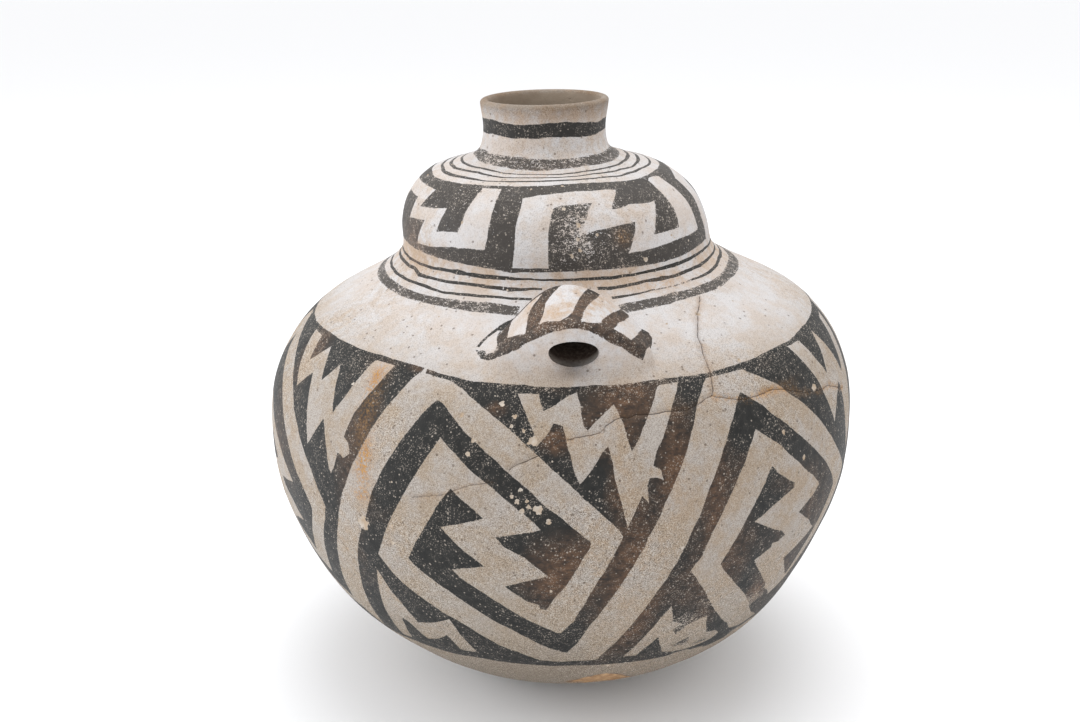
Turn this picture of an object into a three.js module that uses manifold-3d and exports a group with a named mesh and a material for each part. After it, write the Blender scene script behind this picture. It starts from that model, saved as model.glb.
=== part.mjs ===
// A black-on-white pottery jar: a globular belly, a smaller domed upper lobe, a short neck and a
// strap lug with a cord hole through it on the front of the shoulder. The fired clay is one solid,
// hollow and open at the rim.
// Millimetres, +Z up. The origin is the middle of the flat spot the jar stands on. The lug faces
// -Y, and +X is to the right as seen from the lug's side.

import * as THREE from 'three';
import { mergeVertices } from 'three/addons/utils/BufferGeometryUtils.js';
import Module from 'manifold-3d';

// Belly and foot
const footRadius = 46;
const bellyRadius = 171.5;
const bellyLevel = 141;
const wall = 6.5;

// Shoulder, up to the seam where the lobe was built on
const shoulderRise = 106.5;
const shoulderSpread = 18.3;
const seamRise = 15;
const seamFlare = 1.9;

// Upper lobe
const lobeRadius = 88.3;
const lobeRise = 15.8;
const crownInset = 19.3;
const crownRise = 27;

// Neck and rim
const neckRadius = 35.1;
const neckRootFlare = 3;
const neckRootRise = 11.8;
const neckRise = 10.9;
const rimFlare = 1.6;
const rimRise = 15.5;
const rimWall = 5;

// How the clay settled: sideways shifts off the belly's axis, and dips to the left in degrees
const underShift = -4.6;
const shoulderShift = 0.9;
const lobeShift = -4.2;
const neckShift = -9.4;
const underDip = -3.3;
const shoulderDip = 1.2;
const lobeDip = -0.4;
const neckDip = 1.4;

// Cord hole, and the strap lug around it
const holeWidth = 25;
const holeHeight = 13.5;
const holeLift = 5.5;
const strapThickness = 8;
const lugRadius = 122;
const lugOffset = 4;
const lugFront = 18;
const lugBack = 18;
const lugFoot = 10;
const lugRounding = 5;
const pointLanding = 37.5;
const endLanding = 22.5;
const endRise = 6;
// How deep the lug's own body sinks into the shoulder, and how far its edges run under the surface
const lugRoot = 3;
const lugSkirt = 1.2;
// How far the bore runs on past the strap, back and front
const holeClearance = 7;

// Fineness of the faceted surfaces
const turnSteps = 64;
const outerSteps = 32;
const innerSteps = 18;
const rimSteps = 4;
const strapSteps = 26;
const holeSides = 20;
const arcDivisions = 800;
const shareStep = 0.0005;
const mergeGap = 1e-4;

// Levels and radii that follow from the sizes above
const shoulderLevel = bellyLevel + shoulderRise;
const seamLevel = shoulderLevel + seamRise;
const lobeLevel = seamLevel + lobeRise;
const crownLevel = lobeLevel + crownRise;
const neckRootLevel = crownLevel + neckRootRise;
const neckLevel = neckRootLevel + neckRise;
const rimLevel = neckLevel + rimRise;
const seamRadius = lobeRadius + seamFlare;
const shoulderRadius = seamRadius + shoulderSpread;
const crownRadius = lobeRadius - crownInset;
const neckRootRadius = neckRadius + neckRootFlare;
const rimRadius = neckRadius + rimFlare;
const underLevel = 0.3 * bellyLevel;

// The strap arches over the hole and lands to both sides of it
const lugRise = holeLift + holeHeight + strapThickness;
const pointReach = holeWidth / 2 + pointLanding;
const endReach = holeWidth / 2 + endLanding;
const strapWidth = lugFront + lugBack;

// A point part of the way from one [radius, level] station to another
function between(from, to, across, up) {
  return [from[0] + (to[0] - from[0]) * across, from[1] + (to[1] - from[1]) * up];
}

// Stations of the outer outline from the edge of the foot up to the rim
function outlineStations() {
  const foot = [footRadius, 0];
  const belly = [bellyRadius, bellyLevel];
  const shoulder = [shoulderRadius, shoulderLevel];
  const seam = [seamRadius, seamLevel];
  const lobe = [lobeRadius, lobeLevel];
  const crown = [crownRadius, crownLevel];
  const root = [neckRootRadius, neckRootLevel];
  return [
    foot,
    between(foot, belly, 0.244, 0.095),
    between(foot, belly, 0.524, 0.251),
    between(foot, belly, 0.747, 0.449),
    between(foot, belly, 0.914, 0.73),
    belly,
    between(belly, shoulder, 0.039, 0.468),
    between(belly, shoulder, 0.364, 0.783),
    shoulder,
    between(shoulder, seam, 0.74, 0.59),
    seam,
    lobe,
    between(lobe, crown, 0.32, 0.57),
    crown,
    between(crown, root, 0.586, 0.505),
    root,
    [neckRadius, neckLevel],
    [rimRadius, rimLevel],
  ];
}

const outline = new THREE.CatmullRomCurve3(
  outlineStations().map(([radius, level]) => new THREE.Vector3(radius, level, 0)),
  false,
  'centripetal',
);
outline.arcLengthDivisions = arcDivisions;

// The outline's point, outward normal and tangent at a share of its length
function outlineFrame(share) {
  const point = outline.getPointAt(share);
  const tangent = outline.getTangentAt(share);
  const normal = new THREE.Vector3(tangent.y, -tangent.x, 0);
  return { point, tangent, normal };
}

// The wall is thinner in the neck than in the belly
function wallAt(level) {
  return THREE.MathUtils.mapLinear(
    THREE.MathUtils.clamp(level, lobeLevel, neckRootLevel), lobeLevel, neckRootLevel, wall, rimWall);
}

// The closed outline of the clay: foot, outside, rounded rim, inside and floor
function clayProfile() {
  const points = [new THREE.Vector2(0, 0)];
  for (let i = 0; i <= outerSteps; i += 1) {
    const { point } = outlineFrame(i / outerSteps);
    points.push(new THREE.Vector2(point.x, point.y));
  }
  const lip = outlineFrame(1);
  const lipCentre = lip.point.clone().addScaledVector(lip.normal, -rimWall / 2);
  for (let i = 1; i < rimSteps; i += 1) {
    const angle = Math.PI * i / rimSteps;
    const edge = lipCentre.clone()
      .addScaledVector(lip.normal, Math.cos(angle) * rimWall / 2)
      .addScaledVector(lip.tangent, Math.sin(angle) * rimWall / 2);
    points.push(new THREE.Vector2(edge.x, edge.y));
  }
  for (let i = innerSteps; i >= 0; i -= 1) {
    const { point, normal } = outlineFrame(i / innerSteps);
    const inner = point.clone().addScaledVector(normal, -wallAt(point.y));
    points.push(new THREE.Vector2(inner.x, inner.y));
  }
  points.push(new THREE.Vector2(0, wall));
  return points;
}

// Rows of [level, shift to the right, dip to the left] that the settled clay passes through
const settledRows = [
  [0, 0, 0],
  [underLevel, underShift, underDip],
  [bellyLevel, 0, 0],
  [shoulderLevel - seamRise, shoulderShift, shoulderDip],
  [(lobeLevel + crownLevel) / 2, lobeShift, lobeDip],
  [neckRootLevel, neckShift, neckDip],
];

// Moves a point of the upright turned form to where the clay settled
function settle(point) {
  let [, shift, dip] = settledRows[0];
  for (let i = 1; i < settledRows.length; i += 1) {
    const [below, fromShift, fromDip] = settledRows[i - 1];
    const [above, toShift, toDip] = settledRows[i];
    const blend = THREE.MathUtils.smoothstep(point.z, below, above);
    if (point.z > below) {
      shift = THREE.MathUtils.lerp(fromShift, toShift, blend);
      dip = THREE.MathUtils.lerp(fromDip, toDip, blend);
    }
  }
  const lean = THREE.MathUtils.degToRad(dip);
  point.z += point.x * Math.sin(lean);
  point.x = point.x * Math.cos(lean) + shift;
  return point;
}

// Share of the outline's length where the shoulder has the lug's radius, found from the rim down
function lugShare() {
  let share = 1;
  while (share > 0 && outline.getPointAt(share).x < lugRadius) {
    share -= shareStep;
  }
  return share;
}

const lugCentreShare = lugShare();
const outlineLength = outline.getLength();

// How far along the strap a place is, from 0 at the crown of its arch to 1 at its tips
function strapReach(along) {
  return Math.min(1, Math.abs(along) / pointReach);
}

// How high the strap arches: a bell, with a squared end to the right and a point to the left
function strapArch(along) {
  const bell = lugRise * Math.cos(strapReach(along) * Math.PI / 2) ** 2;
  return along > 0 ? Math.max(bell, endRise) : bell;
}

// Shares of its width that the strap narrows by at its two tips, and how late it narrows
const pointNarrowing = 0.9;
const endNarrowing = 0.7;
const narrowingPower = 2.2;

// Edges of the strap, as distances down the shoulder from the lug's centre line
function strapEdges(along) {
  const narrowing = strapWidth * (along < 0 ? pointNarrowing : endNarrowing);
  return [-lugBack + narrowing * strapReach(along) ** narrowingPower, lugFront];
}

// A point on the shoulder, raised along the shoulder's own normal
function onShoulder(along, down, height) {
  const { point, normal } = outlineFrame(lugCentreShare - down / outlineLength);
  const angle = (along + lugOffset) / lugRadius;
  const radius = point.x + normal.x * height;
  const level = point.y + normal.y * height;
  return settle(new THREE.Vector3(radius * Math.sin(angle), -radius * Math.cos(angle), level));
}

// Rows across the strap: how far from its back edge to its front edge or past them, and how high
const strapRows = [
  { edge: 'back', past: -lugRounding, height: 0 },
  { edge: 'back', past: -0.6 * lugRounding, height: 0.3 },
  { edge: 'back', past: -0.2 * lugRounding, height: 0.66 },
  { edge: 'back', past: 0.3 * lugRounding, height: 0.86 },
  { edge: 'back', past: lugRounding, height: 0.97 },
  { edge: 'front', past: -0.25 * strapWidth, height: 1 },
  { edge: 'front', past: -0.3 * lugFoot, height: 1 },
  { edge: 'front', past: 0, height: 0.95 },
  { edge: 'front', past: 0.12 * lugFoot, height: 0.76 },
  { edge: 'front', past: 0.3 * lugFoot, height: 0.5 },
  { edge: 'front', past: 0.6 * lugFoot, height: 0.23 },
  { edge: 'front', past: lugFoot, height: 0 },
];

// The strap's arched body, closed below the surface of the shoulder
function lugGeometry() {
  const across = strapRows.length;
  const vertices = [];
  for (const root of [0, 1]) {
    for (let i = 0; i <= strapSteps; i += 1) {
      const along = THREE.MathUtils.lerp(-pointReach, endReach, i / strapSteps);
      const [back, front] = strapEdges(along);
      for (const row of strapRows) {
        const down = (row.edge === 'back' ? back : front) + row.past;
        const height = row.height * (strapArch(along) + lugSkirt) - lugSkirt;
        vertices.push(onShoulder(along, down, root ? -lugRoot : height));
      }
    }
  }
  const faces = [];
  const index = (root, i, j) => (root * (strapSteps + 1) + i) * across + j;
  const quad = (a, b, c, d) => faces.push(a, b, c, a, c, d);
  for (let i = 0; i < strapSteps; i += 1) {
    for (let j = 0; j < across - 1; j += 1) {
      quad(index(0, i, j), index(0, i, j + 1), index(0, i + 1, j + 1), index(0, i + 1, j));
      quad(index(1, i, j), index(1, i + 1, j), index(1, i + 1, j + 1), index(1, i, j + 1));
    }
    quad(index(0, i, 0), index(0, i + 1, 0), index(1, i + 1, 0), index(1, i, 0));
    const last = across - 1;
    quad(index(0, i, last), index(1, i, last), index(1, i + 1, last), index(0, i + 1, last));
  }
  const end = strapSteps;
  for (let j = 0; j < across - 1; j += 1) {
    quad(index(0, 0, j), index(1, 0, j), index(1, 0, j + 1), index(0, 0, j + 1));
    quad(index(0, end, j), index(0, end, j + 1), index(1, end, j + 1), index(1, end, j));
  }
  const geometry = new THREE.BufferGeometry().setFromPoints(vertices);
  geometry.setIndex(faces);
  return geometry;
}

// The cord hole, a straight oval bore that runs down the slope of the shoulder under the strap
function holeGeometry() {
  const height = holeLift + holeHeight / 2;
  const upper = onShoulder(0, -lugBack - lugRounding - holeClearance, height);
  const lower = onShoulder(0, lugFront + lugFoot + holeClearance, height);
  const middle = onShoulder(0, 0, height);
  const run = lower.clone().sub(upper);
  const sideways = new THREE.Vector3(1, 0, 0);
  const inward = sideways.clone().cross(run).normalize();
  const basis = new THREE.Matrix4().makeBasis(sideways, run.clone().normalize(), inward);
  const geometry = new THREE.CylinderGeometry(1, 1, run.length(), holeSides);
  geometry.scale(holeWidth / 2, 1, holeHeight / 2);
  geometry.applyMatrix4(basis);
  const centre = upper.clone().add(lower).multiplyScalar(0.5);
  centre.addScaledVector(inward, middle.clone().sub(centre).dot(inward));
  geometry.translate(centre.x, centre.y, centre.z);
  return geometry;
}

const wasm = await Module();
wasm.setup();

// A closed solid from a geometry whose shared vertices are merged
function solidOf(geometry) {
  geometry.deleteAttribute('normal');
  geometry.deleteAttribute('uv');
  const merged = mergeVertices(geometry, mergeGap);
  const corners = [];
  for (let i = 0; i < merged.index.count; i += 3) {
    const [a, b, c] = [0, 1, 2].map((k) => merged.index.getX(i + k));
    if (a !== b && b !== c && c !== a) {
      corners.push(a, b, c);
    }
  }
  return new wasm.Manifold(new wasm.Mesh({
    numProp: 3,
    vertProperties: new Float32Array(merged.attributes.position.array),
    triVerts: new Uint32Array(corners),
  }));
}

// The turned form, with its axis stood up along Z and every point settled
function turnedGeometry() {
  const geometry = new THREE.LatheGeometry(clayProfile(), turnSteps);
  geometry.rotateX(Math.PI / 2);
  const position = geometry.attributes.position;
  for (let i = 0; i < position.count; i += 1) {
    const point = settle(new THREE.Vector3().fromBufferAttribute(position, i));
    position.setXYZ(i, point.x, point.y, point.z);
  }
  return geometry;
}

// The whole jar: turned body, strap lug fused on, cord hole cut through
function jarGeometry() {
  const body = solidOf(turnedGeometry());
  const lug = solidOf(lugGeometry());
  const hole = solidOf(holeGeometry());
  const { vertProperties, triVerts } = body.add(lug).subtract(hole).getMesh();
  const geometry = new THREE.BufferGeometry();
  geometry.setAttribute('position', new THREE.BufferAttribute(vertProperties, 3));
  geometry.setIndex(new THREE.BufferAttribute(triVerts, 1));
  geometry.computeVertexNormals();
  return geometry;
}

const slip = new THREE.MeshStandardMaterial({ color: 0xbdb2a6, roughness: 0.8, metalness: 0 });
const jar = new THREE.Mesh(jarGeometry(), slip);
jar.name = 'jar';

const pot = new THREE.Group();
pot.add(jar);

export default pot;
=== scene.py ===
import math

import bpy
import numpy as np
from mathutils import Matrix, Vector, geometry, kdtree, noise


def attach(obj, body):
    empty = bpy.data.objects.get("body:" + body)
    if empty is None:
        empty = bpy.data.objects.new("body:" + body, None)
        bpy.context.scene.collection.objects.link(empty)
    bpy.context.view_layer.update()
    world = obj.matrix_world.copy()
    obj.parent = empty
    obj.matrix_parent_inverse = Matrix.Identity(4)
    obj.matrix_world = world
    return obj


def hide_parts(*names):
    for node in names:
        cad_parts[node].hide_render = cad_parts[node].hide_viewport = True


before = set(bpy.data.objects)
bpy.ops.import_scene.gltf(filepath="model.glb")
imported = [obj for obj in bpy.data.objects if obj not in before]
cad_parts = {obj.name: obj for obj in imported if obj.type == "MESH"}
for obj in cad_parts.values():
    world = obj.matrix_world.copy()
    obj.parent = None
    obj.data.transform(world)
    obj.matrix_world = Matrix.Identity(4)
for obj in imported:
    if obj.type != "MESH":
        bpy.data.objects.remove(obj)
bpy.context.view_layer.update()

# The jar's own sizes, in millimetres, as in the part
FOOT_RADIUS = 46
BELLY_RADIUS, BELLY_LEVEL = 171.5, 141
SHOULDER_RISE, SHOULDER_SPREAD = 106.5, 18.3
SEAM_RISE, SEAM_FLARE = 15, 1.9
LOBE_RADIUS, LOBE_RISE = 88.3, 15.8
CROWN_INSET, CROWN_RISE = 19.3, 27
NECK_RADIUS, NECK_ROOT_FLARE, NECK_ROOT_RISE, NECK_RISE = 35.1, 3, 11.8, 10.9
RIM_FLARE, RIM_RISE, RIM_WALL, WALL = 1.6, 15.5, 5, 6.5

SHOULDER_LEVEL = BELLY_LEVEL + SHOULDER_RISE
SEAM_LEVEL = SHOULDER_LEVEL + SEAM_RISE
LOBE_LEVEL = SEAM_LEVEL + LOBE_RISE
CROWN_LEVEL = LOBE_LEVEL + CROWN_RISE
NECK_ROOT_LEVEL = CROWN_LEVEL + NECK_ROOT_RISE
NECK_LEVEL = NECK_ROOT_LEVEL + NECK_RISE
RIM_LEVEL = NECK_LEVEL + RIM_RISE

# How the hand-built rings sit: level in mm, shift to the right in mm, dip to the left in degrees
SETTLED = (
    (0, 0, 0),
    (0.3 * BELLY_LEVEL, -4.6, -3.3),
    (BELLY_LEVEL, 0, 0),
    (SHOULDER_LEVEL - SEAM_RISE, 0.9, 1.2),
    ((LOBE_LEVEL + CROWN_LEVEL) / 2, -4.2, -0.4),
    (NECK_ROOT_LEVEL, -9.4, 1.4),
)

# The strap lug and the hole for a cord, in millimetres. The hole is narrower than in the part, and a little
# to the left, as the photo shows it; its half size on the unrolled surface is given across and up
LUG_RADIUS, LUG_OFFSET = 122, 4
LUG_FRONT, LUG_BACK = 18, 18
POINT_REACH, END_REACH, END_RISE = 50, 35, 6
LUG_SKIRT = 1.2
HOLE_WIDTH, HOLE_HEIGHT, HOLE_LIFT, HOLE_SHIFT = 20.6, 13.5, 5.5, -0.7
STRAP_THICKNESS = 8
MOUTH_HALF = (12.5, 4.0)
LUG_RISE = HOLE_LIFT + HOLE_HEIGHT + STRAP_THICKNESS

# Mesh fineness: millimetres between points, and counts round the inside and the cord hole
EDGE = 3.0
PAINT_STEP = 2.2
INNER_COLUMNS = 160
HOLE_SIDES = 32
MM = 0.001

# Half a crack's width, and the distance from a painted edge past which it isn't counted, in millimetres
CRACK_HALF_WIDTH = 0.38
FAR = 6.0
NO_PAINT = (-FAR, 0.0)


# The outline

def between(a, b, x, y):
    return (a[0] + (b[0] - a[0]) * x, a[1] + (b[1] - a[1]) * y)


def outline_points():
    foot = (0, 0)
    belly = (BELLY_RADIUS, BELLY_LEVEL)
    seam = (LOBE_RADIUS + SEAM_FLARE, SEAM_LEVEL)
    shoulder = (seam[0] + SHOULDER_SPREAD, SHOULDER_LEVEL)
    lobe = (LOBE_RADIUS, LOBE_LEVEL)
    crown = (LOBE_RADIUS - CROWN_INSET, CROWN_LEVEL)
    root = (NECK_RADIUS + NECK_ROOT_FLARE, NECK_ROOT_LEVEL)
    return [
        (FOOT_RADIUS, 0),
        between(foot, belly, 0.447, 0.095), between(foot, belly, 0.652, 0.251),
        between(foot, belly, 0.815, 0.449), between(foot, belly, 0.937, 0.73),
        belly,
        between(belly, shoulder, 0.039, 0.468), between(belly, shoulder, 0.364, 0.783),
        shoulder, between(shoulder, seam, 0.74, 0.59),
        seam, lobe, between(lobe, crown, 0.32, 0.57),
        crown, between(crown, root, 0.586, 0.505),
        root, (NECK_RADIUS, NECK_LEVEL), (NECK_RADIUS + RIM_FLARE, RIM_LEVEL),
    ]


def smooth_curve(points, steps=60):
    """A centripetal curve through the points."""
    points = [np.array(p, float) for p in points]
    ends = [2 * points[0] - points[1]] + points + [2 * points[-1] - points[-2]]
    share = (np.arange(steps) / steps)[:, None]
    pieces = []
    for before, a, b, after in zip(ends, ends[1:], ends[2:], ends[3:]):
        k0, k1, k2 = [math.sqrt(np.linalg.norm(q - p)) for p, q in ((before, a), (a, b), (b, after))]
        leave = ((a - before) / k0 - (b - before) / (k0 + k1) + (b - a) / k1) * k1
        arrive = ((b - a) / k1 - (after - a) / (k1 + k2) + (after - b) / k2) * k1
        bend = -3 * a + 3 * b - 2 * leave - arrive
        twist = 2 * a - 2 * b + leave + arrive
        pieces.append(a + share * leave + share**2 * bend + share**3 * twist)
    return np.concatenate(pieces + [points[-1][None]])


CURVE = smooth_curve(outline_points())
ALONG = np.r_[0, np.cumsum(np.linalg.norm(np.diff(CURVE, axis=0), axis=1))]
LENGTH = ALONG[-1]
SLOPE = np.gradient(CURVE, ALONG, axis=0)
SLOPE /= np.linalg.norm(SLOPE, axis=1)[:, None]
# Turns about the axis against lengths: with this stretch small triangles keep their shape when unrolled
STRETCH = np.r_[0, np.cumsum(np.diff(ALONG) * 2 / (CURVE[1:, 0] + CURVE[:-1, 0]))]


def on_outline(s):
    """Radius, level and direction of the outline at s mm from the foot."""
    return [np.interp(s, ALONG, column) for column in (*CURVE.T, *SLOPE.T)]


def settle(points):
    """The points where the hand-built jar has them: each ring shifted to the side and tipped."""
    shift = np.zeros(points.shape[:-1])
    dip = np.zeros(points.shape[:-1])
    level = points[..., 2]
    for (low, shift_a, dip_a), (high, shift_b, dip_b) in zip(SETTLED, SETTLED[1:]):
        share = np.clip((level - low) / (high - low), 0, 1)
        share = share * share * (3 - 2 * share)
        above = level > low
        shift = np.where(above, shift_a + (shift_b - shift_a) * share, shift)
        dip = np.where(above, dip_a + (dip_b - dip_a) * share, dip)
    turn = np.radians(dip)
    x = points[..., 0]
    return np.stack([x * np.cos(turn) + shift, points[..., 1], level + x * np.sin(turn)], -1)


def unsettled(deg, s, proud=0.0):
    """The place at deg degrees from the front, s mm up the outline, proud mm out of the wall."""
    r, z, dr, dz = on_outline(s)
    r = r + dz * proud
    z = z - dr * proud
    turn = np.radians(deg)
    return np.stack([r * np.sin(turn), -r * np.cos(turn), z], -1)


UPPER = ALONG > np.interp(BELLY_LEVEL, CURVE[:, 1], ALONG)
LUG_LENGTH = float(np.interp(-LUG_RADIUS, -CURVE[UPPER, 0], ALONG[UPPER]))


# The strap lug as a height over the shoulder

def lug_place(deg, s):
    """Millimetres along and down the lug, from its middle."""
    return np.radians(deg) * LUG_RADIUS - LUG_OFFSET, LUG_LENGTH - s


def lug_spot(along, down):
    """Degrees and outline length of a spot on the lug, from its middle."""
    return np.degrees((along + LUG_OFFSET) / LUG_RADIUS), LUG_LENGTH - down


def lug_arch(along):
    bell = LUG_RISE * np.cos(np.minimum(1, np.abs(along) / POINT_REACH) * math.pi / 2) ** 2
    return np.where(along > 0, np.maximum(bell, END_RISE), bell)


def lug_back_edge(along):
    narrowing = np.where(along < 0, 0.9, 0.7) * np.minimum(1, np.abs(along) / POINT_REACH) ** 2.2
    return -LUG_BACK + (LUG_FRONT + LUG_BACK) * narrowing


LUG_STEPS = (
    ("back", -5, 0), ("back", -3, 0.3), ("back", -1, 0.66), ("back", 1.5, 0.86), ("back", 5, 0.97),
    ("front", -9, 1), ("front", -3, 1), ("front", 0, 0.95), ("front", 1.2, 0.76),
    ("front", 3, 0.5), ("front", 6, 0.23), ("front", 10, 0),
)


def lug_section(along, down):
    """The strap's height over the shoulder before its edges are softened."""
    back = lug_back_edge(along)
    edges = {"back": back, "front": np.full_like(back, LUG_FRONT)}
    places = np.stack([edges[edge] + past for edge, past, _ in LUG_STEPS], -1)
    places = np.maximum.accumulate(places, -1)
    shares = [share for _, _, share in LUG_STEPS]
    section = np.zeros(np.shape(along))
    for i in range(len(shares) - 1):
        part = (down - places[..., i]) / np.maximum(places[..., i + 1] - places[..., i], 1e-6)
        here = (part >= 0) & (part <= 1)
        part = part * part * (3 - 2 * part) * 0.35 + part * 0.65
        section = np.where(here, shares[i] + (shares[i + 1] - shares[i]) * part, section)
    there = (down >= places[..., 0]) & (down <= places[..., -1])
    fade = np.clip((END_REACH + 1.2 - along) / 2.4, 0, 1)
    fade = fade * fade * (3 - 2 * fade)
    ends = (along > -POINT_REACH) * fade
    return np.where(there, section * ends * (lug_arch(along) + LUG_SKIRT) - LUG_SKIRT, -LUG_SKIRT)


def lug_height(along, down):
    """The strap's height with softened edges."""
    taps = [(0, 0), (-0.7, 0), (0.7, 0), (0, -0.5), (0, 0.5)]
    return sum(np.maximum(lug_section(along + a, down + d), 0) for a, d in taps) / len(taps)


def lug_down_at(along, height, front):
    """How far down the strap its front or back face passes a height, found by stepping along it."""
    if front:
        downs = np.linspace(LUG_FRONT - 4, LUG_FRONT + 10, 561)
    else:
        downs = np.linspace(lug_back_edge(along) + 5, lug_back_edge(along) - 6, 441)
    heights = lug_height(np.full(downs.shape, along), downs)
    return float(np.interp(-height, -heights, downs))


def hole_loop(front):
    """The mouth of the cord hole on the strap's front or back face: along, down and height."""
    turns = np.arange(HOLE_SIDES) * 2 * math.pi / HOLE_SIDES
    spots = []
    for turn in turns:
        along = HOLE_SHIFT + HOLE_WIDTH / 2 * math.cos(turn)
        height = HOLE_LIFT + HOLE_HEIGHT / 2 * (1 + math.sin(turn))
        spots.append((along, lug_down_at(along, height, front), height))
    return np.array(spots)


# The painted design: degrees from the front and mm up the outline, as read from the photograph

ARCH_LEFT = [
    (-30.2, 291.3), (-31, 288), (-32, 282.5), (-33, 276.5), (-34, 271), (-35, 265), (-36, 258), (-36.8, 252),
    (-37.5, 246.5), (-38.4, 240.5), (-39.3, 235), (-40.1, 229), (-41, 222.5), (-42, 216), (-42.6, 210),
    (-43.2, 205), (-43.7, 200), (-44.7, 190.5), (-45.7, 183), (-46.5, 175.5), (-47.1, 170), (-47.9, 163),
    (-48.6, 156.5), (-49.3, 150), (-49.9, 142), (-50.6, 133), (-51.5, 125),
]
ARCH_RIGHT = [
    (-29, 291.5), (-26, 290.3), (-24, 290), (-22.6, 289), (-20, 285.8), (-18, 282), (-16, 278.5), (-14, 275),
    (-12, 271), (-10, 267), (-8, 262.5), (-6, 257.5), (-4, 252.5), (-2, 247), (0, 242), (1.8, 237), (3, 233),
    (5, 227.5), (7, 221.5), (8.7, 216.5), (9.75, 211.5), (9.05, 206.4), (8.2, 201.4), (7.2, 194.3),
    (6.05, 187.1), (4.9, 178.6), (4, 170), (3.1, 162.1), (2.6, 157), (1.9, 153.9), (1.05, 150), (0.5, 147.1),
]
RING_RIGHT = [
    (-24, 278), (-23, 276.8), (-22, 275), (-20, 269.7), (-18, 264.8), (-16, 260.5), (-14, 256), (-12, 251.8),
    (-10, 246.5), (-8, 242), (-6, 237), (-4, 231.5), (-3, 228.5), (-1.5, 225.5), (0, 221.5), (2, 216),
    (3.5, 212), (4.3, 210), (4.4, 206.5), (3.1, 200), (2.4, 195), (1.6, 190), (0.8, 185), (-0.1, 180),
    (-1.3, 175), (-2, 170), (-2.7, 165.7), (-3.7, 166.4),
]
RING_LEFT = [
    (-24.2, 278), (-25, 276), (-26.7, 268.5), (-28, 261.5), (-30, 251), (-31, 245.5), (-32, 239.5),
    (-33, 233.5), (-34, 227.5), (-34.8, 222), (-35.5, 216), (-36.3, 209), (-37.6, 200), (-38.9, 191),
    (-39.8, 184), (-40.8, 172), (-41.5, 165), (-42, 158), (-42.6, 150), (-43, 142), (-43.4, 133),
    (-43.6, 124), (-44, 115), (-44.5, 108),
]
INSIDE_RIGHT = [
    (-21.9, 259.3), (-20, 254.9), (-18, 250.4), (-15.9, 245), (-13.8, 240.7), (-12, 237.2), (-10, 232.2),
    (-8, 227.5), (-5.9, 222.5), (-4.6, 218.6), (-3.9, 216.3), (-5.5, 215), (-7, 213.8), (-8.5, 213),
    (-10, 212), (-11.4, 210.8), (-10, 206), (-8, 202.5), (-6.4, 200), (-3.9, 192.8), (-2.6, 189.4),
    (-6.4, 186), (-10, 181), (-8, 175.7), (-5.8, 171), (-4.1, 169.6), (-3.7, 166.4),
]
HOOK = [
    (0.5, 147.1), (-0.3, 147.3), (-1.7, 149.6), (-3.9, 153.6), (-5.9, 156.9), (-7.9, 161), (-10, 165.4),
    (-11.9, 170), (-13.9, 174.6), (-16, 179.3), (-18, 183.6), (-19.3, 188.2), (-16.7, 190.4), (-13.5, 192.9),
    (-15, 196.4), (-17, 201), (-19.2, 207.1), (-20.9, 212.5), (-18.7, 215), (-16.2, 217.5), (-13.4, 220.7),
    (-14.8, 224.3), (-16.7, 228.6), (-19.1, 234.6), (-21, 227), (-23.4, 214), (-25.8, 201.5), (-27.8, 189.6),
    (-26.9, 186.4), (-25.8, 183.9), (-23.9, 179.3), (-21.9, 175), (-20, 170.7), (-18, 166), (-16, 161.4),
    (-14.2, 157), (-11.9, 152.5), (-9.9, 148.7), (-7.9, 145), (-5.6, 141), (-3.4, 136), (-0.9, 132.1),
    (1.3, 129.3), (2.3, 129),
]
INSIDE_LEFT = [
    (9, 121.2), (4, 119.8), (0, 118.8), (-2.8, 119.3), (-3.9, 120.7), (-5.6, 123.2), (-7.8, 126.6),
    (-10, 128.9), (-11.9, 131.8), (-13.9, 135.7), (-16, 140), (-18, 144.6), (-20.1, 148.9), (-22.2, 152),
    (-24, 156), (-26.1, 160.4), (-28, 165), (-30, 170), (-31.9, 176.4), (-33.3, 182.1), (-34.4, 186.4),
    (-33.9, 190), (-33.2, 194.6), (-32.6, 199.3), (-31.2, 207.9), (-29.8, 216.4), (-28.4, 223.6),
    (-27.3, 230), (-25.9, 237.9), (-24.5, 245), (-23.5, 250.7), (-22.6, 255.7),
]
TEETH = [
    (-9.05, 285.4), (-5.1, 285.2), (-4.7, 281.4), (-4, 276.4), (-2.3, 278.6), (-0.1, 283.2), (2, 285.7),
    (2.4, 281.4), (2.7, 275), (3.1, 268.6), (3.8, 266.1), (5.4, 270.7), (7.1, 275), (8.6, 278.2), (9.3, 274.3),
    (9.9, 269.3), (10.4, 262.1), (11.1, 254.9), (12, 257.9), (12.8, 261.4), (13.5, 265.7), (14.3, 270),
    (15.2, 273.9), (16.3, 279.3), (17.4, 285), (17.9, 286.4), (21.7, 286.4), (20.9, 281.4), (20, 277.9),
    (19, 272.5), (17.9, 266.4), (16.8, 260), (15.4, 253.6), (14.6, 246.8), (15.9, 244.6), (16.4, 239.3),
    (15.4, 240.7), (14, 241), (13.5, 237.1), (13.8, 228.6), (12.7, 232.5), (12.1, 228.6), (11.4, 222.9),
    (10.4, 216.8), (9.75, 224.3), (9.3, 230), (8.8, 235.7), (8.2, 241.4), (7.8, 250), (7.2, 257.9), (6, 255),
    (4.9, 249.3), (3.8, 245), (2.4, 240.4), (1.6, 245), (1.1, 250.7), (0.6, 256.4), (0, 262.9), (-0.5, 268.6),
    (-0.8, 269), (-2.2, 270), (-2.9, 266.4), (-4.6, 260), (-5, 258.6), (-5.4, 265), (-6.5, 271.4),
    (-7.3, 275.7), (-8.2, 280.7),
]
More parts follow.
